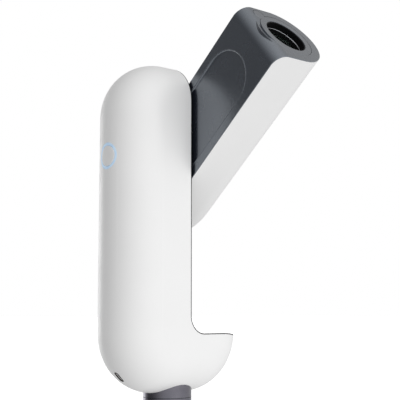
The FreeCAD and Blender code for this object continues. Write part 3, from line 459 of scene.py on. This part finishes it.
def round_ended(half_length: float, radius: float, steps: int = 48) -> tuple[Array, Array]:
    """Walk a round-ended slot's outline: two half circles whose centres are a run apart.

    Args:
        half_length: from the slot's middle to the centre of an end.
        radius: of the ends.
        steps: points on each end.

    Returns:
        Points on the outline and the directions out of it, both of shape (2 * steps, 2).
    """
    swing = np.linspace(-math.pi / 2, math.pi / 2, steps)
    out = np.concatenate([np.stack([np.cos(swing), np.sin(swing)], axis=1),
                          -np.stack([np.cos(swing), np.sin(swing)], axis=1)])
    centre = np.where(np.arange(2 * steps)[:, None] < steps, 1.0, -1.0)
    return out * radius + centre * np.array([half_length, 0.0]), out


def bead_profile(half_width: float, height: float, sunk: float, steps: int = 9) -> Array:
    """Draw a rounded bead's section: half an ellipse, closed by a foot sunk in the face."""
    turn = np.linspace(0, math.pi, steps)
    dome = np.stack([half_width * np.cos(turn), height * np.sin(turn)], axis=1)
    return np.vstack([dome, [[-half_width, -sunk], [half_width, -sunk]]])


def smooth(share: Array) -> Array:
    """Ease a share between nought and one: 3 s^2 - 2 s^3."""
    held = np.clip(share, 0.0, 1.0)
    return held * held * (3 - 2 * held)


def closed_ring(axis: Axis, radius_mm: Array, height_mm: Array, angle: Array
                ) -> tuple[Array, Array]:
    """Join rows of a turned surface that closes on itself both ways.

    A point is origin + along * height + radius * (across * cos angle + beside * sin angle),
    and radius and height may change from angle to angle.
    """
    return grid(axis.turned(radius_mm * MM, height_mm * MM, angle),
                wrap_rows=True, wrap_columns=True)


# ------------------------------------------------------------------ finishes by record slot
LENS = next(m for m in frame["record"]["mounts"] if m["name"] == "lens_opening")
LENS_LINE = Axis.through(LENS["pos_m"], LENS["axis"])
LENS_TILT = math.acos(LENS["axis"][2])


class Slot(Enum):
    """The record's material slots."""

    WHITE_CASE = "white_case"
    DARK_COVER = "dark_cover"
    GREY_BASE = "grey_base"
    ALLOY = "alloy"
    BLACK_ALLOY = "black_alloy"
    STEEL = "steel"
    BRASS = "brass"
    RUBBER = "rubber"
    MOTOR_CAN = "motor_can"
    BATTERY_WRAP = "battery_wrap"
    TRAY_PLASTIC = "tray_plastic"
    BOARD = "board"
    GLASS = "glass"
    LIGHT_GUIDE = "light_guide"
    HEATER_FILM = "heater_film"


FINISHES: dict[Slot, Finish] = {
    # Satin white PC/ABS from a finely eroded mould: soft wide highlights, almost no grain.
    Slot.WHITE_CASE: MouldedPlastic("white_abs_satin", "#e8e8e8", 0.34, 1.5,
                                    drift="#e6e6e6", grain_depth_mm=0.002),
    # Dark grey lacquer over moulded polycarbonate: it mirrors what is near as a soft,
    # slightly blue image.
    Slot.DARK_COVER: MouldedPlastic("slate_lacquered_polycarbonate", "#1f232c", 0.26, 1.585,
                                    specular=1.0, drift="#1c2029", grain_depth_mm=0.002,
                                    gloss_swing=0.03, lacquer=1.0, lacquer_ior=1.9,
                                    mirror_tint="#d6eaff"),
    # Bead-blasted, grey anodised aluminium, turned on a lathe.
    # The tool marks are drawn about a millimetre apart, coarser than real, to show.
    Slot.GREY_BASE: TurnedMetal("grey_anodised_aluminium", "#76747c", 0.26, metallic=1.0,
                                drift="#6a6971", line_mm=1.1, line_depth_mm=0.012,
                                gloss_swing=0.08),
    Slot.ALLOY: BrushedMetal("milled_aluminium", "#c9cbcf", 0.35, metallic=1.0,
                             drift="#b4b7bc"),
    # Black anodised aluminium inside the optics: it swallows stray light.
    Slot.BLACK_ALLOY: TurnedMetal("black_anodised_aluminium", "#0a0a0c", 0.42, 1.6,
                                  specular=0.2, drift="#101013", line_mm=0.8,
                                  line_depth_mm=0.01,
                                  centre=tuple(LENS["pos_m"]), tilt=LENS_TILT),
    Slot.STEEL: BrushedMetal("zinc_plated_steel", "#b9bcc1", 0.28, metallic=1.0,
                             drift="#a4a8ae"),
    Slot.BRASS: TurnedMetal("turned_brass", "#c8a45a", 0.25, metallic=1.0, drift="#b8924a"),
    Slot.RUBBER: Elastomer("black_nitrile_rubber", "#1d1d1f", 0.8, 1.52),
    Slot.MOTOR_CAN: BrushedMetal("deep_drawn_steel_can", "#8f9298", 0.3, metallic=1.0,
                                 drift="#7d8086", line_mm=0.8),
    Slot.BATTERY_WRAP: WrappedFilm("shrunk_pvc_wrap", "#31538f", 0.3, 1.54,
                                   stripe="#2a4a80", stripe_mm=8),
    Slot.TRAY_PLASTIC: MouldedPlastic("black_nylon_tray", "#2a2b2d", 0.5, 1.53,
                                      drift="#333436", grain_depth_mm=0.02),
    Slot.BOARD: PrintedBoard("green_glass_fibre_board", "#1d5a36", 0.35, 1.55),
    # The glass's grey colour is painted shade: it dims what is seen through the lenses, so the
    # mouth stays dark.
    Slot.GLASS: CoatedGlass("coated_crown_glass", "#5a5e5f", 0.0, 1.52, specular=0.03),
    Slot.LIGHT_GUIDE: FrostedGuide("frosted_acrylic_guide", "#c3d3e0", 0.4, 1.49),
    Slot.HEATER_FILM: WrappedFilm("polyimide_heater_film", "#b8722a", 0.25, 1.7,
                                  stripe="#8a4f1c", stripe_mm=1.2),
}


OWN_FINISHES: dict[str, Finish] = {
    # Unlacquered, heavily eroded polycarbonate: a dead matt dark floor behind the arm.
    "bay_liner": MouldedPlastic("matt_black_polycarbonate", "#1b1c1f", 0.9, 1.585,
                                specular=0.0, drift="#212225", grain_depth_mm=0.03),
}


class Wardrobe:
    """Builds each finish once and hands it out."""

    def __init__(self) -> None:
        """Start with no material built."""
        self.built: dict[Slot, bpy.types.Material] = {}

    def material(self, slot: Slot) -> bpy.types.Material:
        """Give the slot's material, built at its first use."""
        if slot not in self.built:
            self.built[slot] = FINISHES[slot].build()
        return self.built[slot]

    def dress_cad(self) -> None:
        """Give every CAD node the finish of its record slot, or its own where it has one."""
        for row in frame["record"]["subparts"]:
            name = row["node"]
            own = OWN_FINISHES.get(name)
            frame["nodes"][name].material_slots[0].material = (
                own.build() if own else self.material(Slot(row["material_slot"])))

    def add(self, thing: bpy.types.Object, slot: Slot, body: str, *replaced: str,
            finish: Finish | None = None) -> bpy.types.Object:
        """Dress a new piece, put it on its body and hide the CAD nodes that it stands for.

        Args:
            thing: the piece, already in place.
            slot: record slot that its finish comes from.
            body: CAD body that it moves with.
            replaced: CAD nodes that it stands for.
            finish: its own finish, where it differs from the slot's.

        Returns:
            The piece.
        """
        thing.data.materials.append(finish.build() if finish else self.material(slot))
        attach(thing, body)
        if replaced:
            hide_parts(*replaced)
        LOG.info("%s on %s: %d faces", thing.name, body, len(thing.data.polygons))
        return thing


# ------------------------------------------------------------------ power button
@dataclass
class PowerButton:
    """Dished cap of the power button and the frosted ring of light round it."""

    wardrobe: Wardrobe
    up: float = 300.6
    cap_radius: float = 12.4
    guide_inner: float = 12.8
    guide_outer: float = 15.9
    back: float = -86.0
    plunger_radius: float = 3.0
    plunger_end: float = -84.2
    dish: float = 0.45
    edge: float = 0.5
    rim_radius: float = 46.9
    rim_centre: float = -46.6
    rim_flat: float = 0.1
    steps: int = 128

    def rim(self, beside: Array) -> Array:
        """Find the case's rim: centre less the root of radius^2 - (|y| - flat)^2."""
        return self.rim_centre - np.sqrt(
            self.rim_radius ** 2 - np.maximum(np.abs(beside) - self.rim_flat, 0) ** 2)

    def face(self, reach: Array, sunk: Array) -> Array:
        """Place points in millimetres at a reach round the button's line, sunk in the rim."""
        angle = full_turn(self.steps)
        beside, above = reach * np.cos(angle), reach * np.sin(angle)
        return np.stack([self.rim(beside) + sunk, beside, self.up + above], axis=-1)

    def flat(self, reach: Array, across: Array) -> Array:
        """Place points in millimetres at a reach round the button's line, at a fixed x."""
        angle = full_turn(self.steps)
        beside, above = reach * np.cos(angle), reach * np.sin(angle)
        return np.stack([np.broadcast_to(across, beside.shape), beside, self.up + above],
                        axis=-1)

    def edge_drop(self, reach: Array, rim_at: float) -> Array:
        """Round an edge: radius less the root of radius^2 - (distance past its start)^2."""
        past = np.clip(self.edge - np.abs(reach - rim_at), 0, self.edge)
        return self.edge - np.sqrt(self.edge ** 2 - past ** 2)

    def build_cap(self) -> bpy.types.Object:
        """Build the cap: a face dished by dish * (1 - (r / R)^2)^2, a wall and a plunger."""
        reach = np.concatenate([np.linspace(0, self.cap_radius - self.edge, 22),
                                np.linspace(self.cap_radius - self.edge, self.cap_radius,
                                            8)[1:]])
        sunk = (self.dish * (1 - (reach / self.cap_radius) ** 2) ** 2
                + self.edge_drop(reach, self.cap_radius))
        behind = self.flat(
            np.array([self.cap_radius, self.cap_radius, self.plunger_radius,
                      self.plunger_radius, 0.0]),
            np.array([self.back - 1, self.back, self.back, self.plunger_end,
                      self.plunger_end]))
        points = np.concatenate([self.face(reach, sunk), behind], axis=1) * MM
        return shape("power_button_cap", [grid(points.transpose(1, 0, 2),
                                               wrap_columns=True)])

    def build_guide(self) -> bpy.types.Object:
        """Build the light guide: a ring with a rounded face that follows the rim."""
        reach = np.linspace(self.guide_inner, self.guide_outer, 25)
        sunk = self.edge_drop(reach, self.guide_inner) + self.edge_drop(reach,
                                                                        self.guide_outer)
        behind = self.flat(np.array([self.guide_outer, self.guide_inner]), np.array(self.back))
        points = np.concatenate([self.face(reach, sunk), behind], axis=1) * MM
        return shape("power_light_guide", [grid(points.transpose(1, 0, 2), wrap_rows=True,
                                                wrap_columns=True)])

    def build(self) -> None:
        """Build and dress the cap and the guide."""
        self.wardrobe.add(self.build_cap(), Slot.WHITE_CASE, "power_button", "power_button")
        self.wardrobe.add(self.build_guide(), Slot.LIGHT_GUIDE, "body", "light_ring")


# ------------------------------------------------------------------ lens barrel
@dataclass
class LensBarrel:
    """Barrel with glare stops, its retaining ring, and the ribbed lining of the mouth.

    Depths are from the lens mouth inwards.
    """

    wardrobe: Wardrobe
    mount_depth: float = 4.0
    barrel_start: float = 8.0
    barrel_end: float = 208.4
    barrel_bore: float = 27.6
    barrel_outer: float = 29.5
    stop_start: float = 34.0
    stop_end: float = 190.0
    stop_pitch: float = 4.0
    stop_height: float = 1.1
    ring_inner: float = 24.2
    ring_outer: float = 27.55
    ring_depth: float = 2.0
    ring_gap: float = 0.05
    ring_chamfer: float = 0.7
    slot_turn: float = 0.6
    slot_half: float = 1.4
    slot_ease: float = 0.4
    slot_depth: float = 0.9
    lining_outer: float = 26.97
    lining_wall: float = 0.5
    lining_start: float = 0.7
    lining_end: float = 7.8
    rib_pitch: float = 0.75
    rib_height: float = 0.22
    steps: int = 144

    def turned(self, name: str, profile: Array, angle: Array | None = None
               ) -> bpy.types.Object:
        """Turn a closed profile of (radius, depth) about the lens line."""
        spots = full_turn(self.steps) if angle is None else angle
        return shape(name, [closed_ring(LENS_LINE, profile[..., 0],
                                        self.mount_depth - profile[..., 1], spots)])

    def saw(self, start: float, end: float, pitch: float, base: float, height: float
            ) -> Array:
        """Draw saw teeth: straight fronts and sloped backs that stand in from the base."""
        heels = np.arange(start, end, pitch)
        return np.stack([np.full((len(heels), 3), base) - [[0, height, 0]],
                         heels[:, None] + [[0, 0.05 * pitch, 0.85 * pitch]]],
                        axis=-1).reshape(-1, 2)

    def build_barrel(self) -> bpy.types.Object:
        """Build the barrel with its row of knife-edged glare stops."""
        stops = self.saw(self.stop_start, self.stop_end, self.stop_pitch, self.barrel_bore,
                         self.stop_height)
        ends = np.array([[self.barrel_bore, self.barrel_end],
                         [self.barrel_outer, self.barrel_end],
                         [self.barrel_outer, self.barrel_start + 0.3],
                         [self.barrel_outer - 0.3, self.barrel_start],
                         [self.barrel_bore, self.barrel_start]])
        return self.turned("lens_barrel", np.vstack([stops, ends])[None])

    def build_ring(self) -> bpy.types.Object:
        """Build the retaining ring: a chamfered lip and two slots for a pin spanner."""
        front = self.barrel_start + self.ring_gap
        back = self.barrel_start + self.ring_depth - self.ring_gap
        chamfer = self.ring_chamfer
        profile = np.array([[self.ring_inner, back], [self.ring_inner, front + chamfer],
                            [self.ring_inner + chamfer, front], [self.ring_outer - 0.9, front],
                            [self.ring_outer, front + 0.3], [self.ring_outer, back]])
        angle = full_turn(3 * self.steps)
        off_slot = (np.abs((angle - self.slot_turn) % math.pi - math.pi / 2)
                    * self.ring_inner)
        sunk = (smooth((self.slot_half - off_slot) / self.slot_ease + 0.5)
                * self.slot_depth)
        depth = profile[None, :, 1] + sunk * (profile[None, :, 1] < front + 0.5)
        radius = np.broadcast_to(profile[None, :, 0], depth.shape)
        return self.turned("lens_retaining_ring", np.stack([radius, depth], axis=-1), angle)

    def build_highlight_band(self) -> bpy.types.Object:
        """Build a thin pale metal band proud of the retaining ring's lip: a bright-cut chamfer
        whose pale colour is also a painted highlight where the chamfer catches light.
        """
        front = self.barrel_start + self.ring_gap
        high, low = self.ring_inner + 0.58, self.ring_inner + 0.34
        profile = np.array([[low, front + 0.28], [high, front + 0.04],
                            [high + 0.08, front + 0.12], [low + 0.08, front + 0.36]])
        return self.turned("lens_ring_painted_highlight", profile[None])

    def build_lining(self) -> bpy.types.Object:
        """Build the mouth's lining: a thin sleeve ribbed like a fine screw."""
        inner = self.lining_outer - self.lining_wall
        ribs = self.saw(self.lining_start + 0.5, self.lining_end - 0.6, self.rib_pitch, inner,
                        self.rib_height)
        ends = np.array([[inner, self.lining_end], [self.lining_outer, self.lining_end],
                         [self.lining_outer, self.lining_start],
                         [self.lining_outer - 0.2, self.lining_start]])
        return self.turned("lens_mouth_lining", np.vstack([ribs, ends])[None])

    def build(self) -> None:
        """Build and dress the barrel and the rings in its mouth."""
        black = Slot.BLACK_ALLOY
        self.wardrobe.add(self.build_barrel(), black, "arm", "lens_tube")
        self.wardrobe.add(self.build_ring(), black, "arm", "lens_retainer")
        # Pale metal band on the ring's lip: a real bright-cut chamfer, and also a painted
        # highlight along it.
        self.wardrobe.add(self.build_highlight_band(), Slot.ALLOY, "arm")
        self.wardrobe.add(self.build_lining(), black, "arm")


# ------------------------------------------------------------------ tripod base
@dataclass
class TripodFoot:
    """Threaded insert for a tripod screw and the ribbed rubber pad round it."""

    wardrobe: Wardrobe
    minor_radius: float = 4.0
    major_radius: float = 4.76
    pitch: float = 25.4 / 16
    insert_radius: float = 8.98
    insert_length: float = 9.8
    lead_in: float = 0.5
    thread_flat: float = 0.12
    rows: int = 120
    pad_inner: float = 12.0
    pad_outer: float = 27.5
    pad_height: float = 1.0
    rib_pitch: float = 1.55
    groove: float = 0.45
    steps: int = 96

    def build_insert(self) -> bpy.types.Object:
        """Build the insert with its 3/8 inch thread.

        The bore's radius is minor + (major - minor) * V, where V rises and falls once in
        each pitch of height - pitch * angle / turn, with flats at crest and root.
        """
        base = Axis.through((0, 0, 0), (0, 0, 1))
        angle = full_turn(self.steps)
        up = np.linspace(0, self.insert_length, self.rows)[None]
        turn = (up / self.pitch - angle / (2 * math.pi)) % 1
        flank = np.clip((np.abs(2 * turn - 1) - self.thread_flat)
                        / (1 - 2 * self.thread_flat), 0, 1)
        bore = self.minor_radius + (self.major_radius - self.minor_radius) * flank
        bore = np.maximum(bore, self.major_radius + self.lead_in - up)
        outer = np.full((self.steps, 2), self.insert_radius)
        radius = np.concatenate([bore, outer], axis=1)
        height = np.concatenate([np.broadcast_to(up, bore.shape),
                                 np.array([[self.insert_length, 0.0]]).repeat(self.steps, 0)],
                                axis=1)
        return shape("tripod_thread_insert", [closed_ring(base, radius, height, angle)])

    def build_pad(self) -> bpy.types.Object:
        """Build the pad: a flat ring whose lower face is cut by round grooves."""
        ribs = np.arange(self.pad_inner + 0.4, self.pad_outer - self.rib_pitch + 0.5,
                         self.rib_pitch)
        half = self.rib_pitch / 2
        radius = (ribs[:, None] + [[0, half, half + 0.25, 2 * half - 0.25]]).ravel()
        height = np.tile([0, 0, self.groove, self.groove], len(ribs))
        profile = np.vstack([np.stack([radius, height], axis=1),
                             [[self.pad_outer - 0.2, 0], [self.pad_outer, 0.2],
                              [self.pad_outer, self.pad_height],
                              [self.pad_inner, self.pad_height], [self.pad_inner, 0.2]]])
        base = Axis.through((0, 0, 0), (0, 0, 1))
        return shape("ribbed_base_pad", [closed_ring(base, profile[None, :, 0],
                                                     profile[None, :, 1],
                                                     full_turn(self.steps))])

    def build(self) -> None:
        """Build and dress the insert and the pad."""
        self.wardrobe.add(self.build_insert(), Slot.STEEL, "base", "thread_insert")
        self.wardrobe.add(self.build_pad(), Slot.RUBBER, "base", "base_pad")


# ------------------------------------------------------------------ charging port
@dataclass
class ChargingPort:
    """Domed gold pins of the charging port and the soft lip round its mouth."""

    wardrobe: Wardrobe
    corner: tuple[float, float, float] = (-22.5, 0.0, 91.0)
    corner_radius: float = 71.0
    depth: float = 3.5
    pins: int = 5
    pin_pitch: float = 2.9
    pin_radius: float = 0.98
    pin_height: float = 1.5
    collar_radius: float = 0.8
    collar_height: float = 0.55
    dome_height: float = 0.5
    rim_radius: float = 46.9
    rim_offset: float = 24.1
    mouth_length: float = 15.9
    mouth_width: float = 7.5

    def lines(self) -> tuple[Array, Array, Array]:
        """Give the port's way out, its way along the row of pins and its way across."""
        out = np.array([-1.0, 0.0, -1.0]) / math.sqrt(2)
        row = np.array([-1.0, 0.0, 1.0]) / math.sqrt(2)
        return out, row, np.array([0.0, 1.0, 0.0])

    def build_pins(self) -> bpy.types.Object:
        """Build the pins: a collar, a waist and a dome, turned about each pin's line."""
        out, row, _ = self.lines()
        dome = np.linspace(0, math.pi / 2, 8)
        radius = np.concatenate([[0.0, self.pin_radius, self.pin_radius, self.collar_radius],
                                 self.collar_radius * np.cos(dome)])
        height = np.concatenate([[0.0, 0.0, self.collar_height, self.collar_height + 0.15],
                                 self.pin_height - self.dome_height * (1 - np.sin(dome))])
        parts = []
        for number in range(self.pins):
            spot = (np.array(self.corner) + out * (self.corner_radius - self.depth)
                    + row * self.pin_pitch * (number - (self.pins - 1) / 2)) * MM
            line = Axis.through(spot, out, row)
            parts.append(grid(line.turned(radius[None] * MM, height[None] * MM,
                                          full_turn(24)), wrap_rows=True))
        return shape("charging_pins", parts)

    def build_lip(self) -> bpy.types.Object:
        """Build the lip: a bead along a round-ended slot, laid on the case's corner.

        The corner's skin stands offset + root of (rim^2 - y^2) from the corner's middle.
        """
        out, row, across = self.lines()
        half = (self.mouth_length - self.mouth_width) / 2
        outline, away = round_ended(half, self.mouth_width / 2 - 0.3)
        skin = np.sqrt((self.rim_offset + np.sqrt(self.rim_radius ** 2 - outline[:, 1:] ** 2))
                       ** 2 - outline[:, :1] ** 2)
        path = (np.array(self.corner) + out * skin + row * outline[:, :1]
                + across * outline[:, 1:]) * MM
        beside = row * away[:, :1] + across * away[:, 1:]
        upward = np.broadcast_to(out, path.shape)
        return shape("charging_port_lip", [carried(path, beside, upward,
                                                   bead_profile(0.32, 0.18, 0.9))])

    def build(self) -> None:
        """Build and dress the pins and the lip."""
        self.wardrobe.add(self.build_pins(), Slot.BRASS, "body", "charge_contacts",
                          finish=TurnedMetal("gold_plated_brass", "#e0b964", 0.18,
                                             metallic=1.0, drift="#d6ab52"))
        self.wardrobe.add(self.build_lip(), Slot.RUBBER, "body")


# ------------------------------------------------------------------ trim of the arm
@dataclass
class ArmTrim:
    """Fine bead that marks the edge of the arm's long shallow recess."""

    wardrobe: Wardrobe
    face: float = 1.2
    pivot_up: float = 302.5
    recess_radius: float = 36.0
    recess_reach: float = 134.5
    half_width: float = 0.55
    height: float = 0.28

    def build_bead(self) -> bpy.types.Object:
        """Build the bead: half an ellipse carried along the recess's round-ended outline.

        The recess runs from the pivot out along the lens line, so its own length axis is the
        lens line and its width axis is across that.
        """
        outline, away = round_ended(self.recess_reach / 2, self.recess_radius + 0.35)
        along = np.array(LENS["axis"])
        across = np.cross(np.array([1.0, 0.0, 0.0]), along)
        middle = (np.array([self.face, 0.0, self.pivot_up]) + along * self.recess_reach / 2)
        path = (middle + along * outline[:, :1] + across * outline[:, 1:]) * MM
        beside = along * away[:, :1] + across * away[:, 1:]
        proud = np.broadcast_to(np.array([-1.0, 0.0, 0.0]), path.shape)
        return shape("arm_recess_bead", [carried(path, beside, proud,
                                                 bead_profile(self.half_width, self.height,
                                                              0.6))])

    def build(self) -> None:
        """Build and dress the bead."""
        self.wardrobe.add(self.build_bead(), Slot.DARK_COVER, "arm")


# ------------------------------------------------------------------ camera and light
@dataclass(frozen=True)
class Lobe:
    """One soft source of the room: the way to it, its strength and how tight it is."""

    way: tuple[float, float, float]
    strength: float
    tightness: float


@dataclass
class Studio:
    """Camera, pale floor and soft studio light."""

    camera_at: tuple[float, float, float] = (-0.740, -0.9066, 0.1193)
    camera_turn: float = -41.18
    camera_lift: float = 6.62
    focal_mm: float = 85.13
    sensor_mm: float = 36.0
    floor_half: float = 12.0
    floor_colour: str = "#f4f4f4"
    floor_roughness: float = 0.9
    floor_glow: float = 0.6
    lobes: tuple[Lobe, ...] = (
        Lobe((0, 0, 1), 0.1, 0),  # even room
        Lobe((-0.4, -0.7, -0.6), 1.1, 4),  # soft box, low in front
        Lobe((0.6, -0.8, 0.2), 0.6, 4),  # soft box in front, at the right
        Lobe((0.7, -0.2, -0.7), 0.8, 4),  # bounce from below, at the right
        Lobe((0.2, -0.6, 0.8), 1.0, 12),  # key, high in front
        Lobe((-0.5, -0.5, 0.7), 1.2, 8),  # soft box, high at the left
        Lobe((0.5, 0.8, 0.2), 0.6, 5),  # fill from behind
        Lobe((0, 1, 0), 3.0, 40),  # bright screen behind
    )

    def build(self) -> None:
        """Set up the camera, the world's light and the floor."""
        self.camera()
        self.light()
        self.floor()

    def camera(self) -> None:
        """Place the camera."""
        lens = bpy.data.cameras.new("camera")
        lens.sensor_width, lens.lens = self.sensor_mm, self.focal_mm
        camera = bpy.data.objects.new("camera", lens)
        camera.location = self.camera_at
        camera.rotation_euler = (math.radians(90 + self.camera_lift), 0,
                                 math.radians(self.camera_turn))
        bpy.context.scene.collection.objects.link(camera)
        bpy.context.scene.camera = camera
        bpy.context.scene.view_settings.view_transform = "Standard"

    def light(self) -> None:
        """Light the scene as a big soft room.

        Radiance along a direction is a sum of soft lobes. Each is its strength times
        ((1 + direction . way) / 2) to the power of its tightness, where the way is of unit
        length.
        """
        world = bpy.data.worlds.new("studio")
        bpy.context.scene.world = world
        world.use_nodes = True
        tree = world.node_tree
        tree.nodes.clear()
        way = add_node(tree, "ShaderNodeTexCoord").outputs["Generated"]
        total: Any = 0.0
        for lobe in self.lobes:
            aim = np.array(lobe.way, float) / np.linalg.norm(lobe.way)
            facing = add_node(tree, "ShaderNodeVectorMath", {0: way, 1: aim.tolist()},
                              operation="DOT_PRODUCT")
            share = add_node(tree, "ShaderNodeMapRange", {
                "Value": facing.outputs["Value"], "From Min": -1, "From Max": 1})
            tight = add_node(tree, "ShaderNodeMath", {
                0: share.outputs["Result"], 1: lobe.tightness}, operation="POWER")
            total = add_node(tree, "ShaderNodeMath", {
                0: tight.outputs["Value"], 1: lobe.strength, 2: total},
                operation="MULTIPLY_ADD").outputs["Value"]
        soft = add_node(tree, "ShaderNodeBackground", {"Strength": total})
        white = add_node(tree, "ShaderNodeBackground", {"Color": (1, 1, 1, 1)})
        seen = add_node(tree, "ShaderNodeLightPath").outputs["Is Camera Ray"]
        both = add_node(tree, "ShaderNodeMixShader", {
            0: seen, 1: soft.outputs[0], 2: white.outputs[0]})
        add_node(tree, "ShaderNodeOutputWorld", {"Surface": both.outputs[0]})

    def floor(self) -> None:
        """Lay a pale matt floor under the base, with a glow that keeps it white.

        It catches the object's shadow, but neither lights the object nor shades it.
        """
        half = self.floor_half
        corners = np.array([[-half, -half, 0], [half, -half, 0], [half, half, 0],
                            [-half, half, 0]], float)
        mesh = bpy.data.meshes.new("floor")
        mesh.from_pydata(corners, [], [(0, 1, 2, 3)])
        floor = bpy.data.objects.new("floor", mesh)
        bpy.context.scene.collection.objects.link(floor)
        material = bpy.data.materials.new("pale_matt_floor")
        material.use_nodes = True
        shader = material.node_tree.nodes["Principled BSDF"]
        shader.inputs["Base Color"].default_value = linear(self.floor_colour)
        shader.inputs["Roughness"].default_value = self.floor_roughness
        shader.inputs["Emission Color"].default_value = (1, 1, 1, 1)
        shader.inputs["Emission Strength"].default_value = self.floor_glow
        material.cycles.emission_sampling = "NONE"
        mesh.materials.append(material)
        floor.visible_diffuse = False
        floor.visible_glossy = False
        floor.visible_shadow = False


def main() -> None:
    """Dress the CAD pieces, build the new ones and set up the studio."""
    logging.basicConfig(level=logging.INFO, format="%(message)s")
    wardrobe = Wardrobe()
    wardrobe.dress_cad()
    for assembly in (PowerButton, LensBarrel, TripodFoot, ChargingPort, ArmTrim):
        assembly(wardrobe).build()
    Studio().build()


if __name__ == "__main__":
    main()
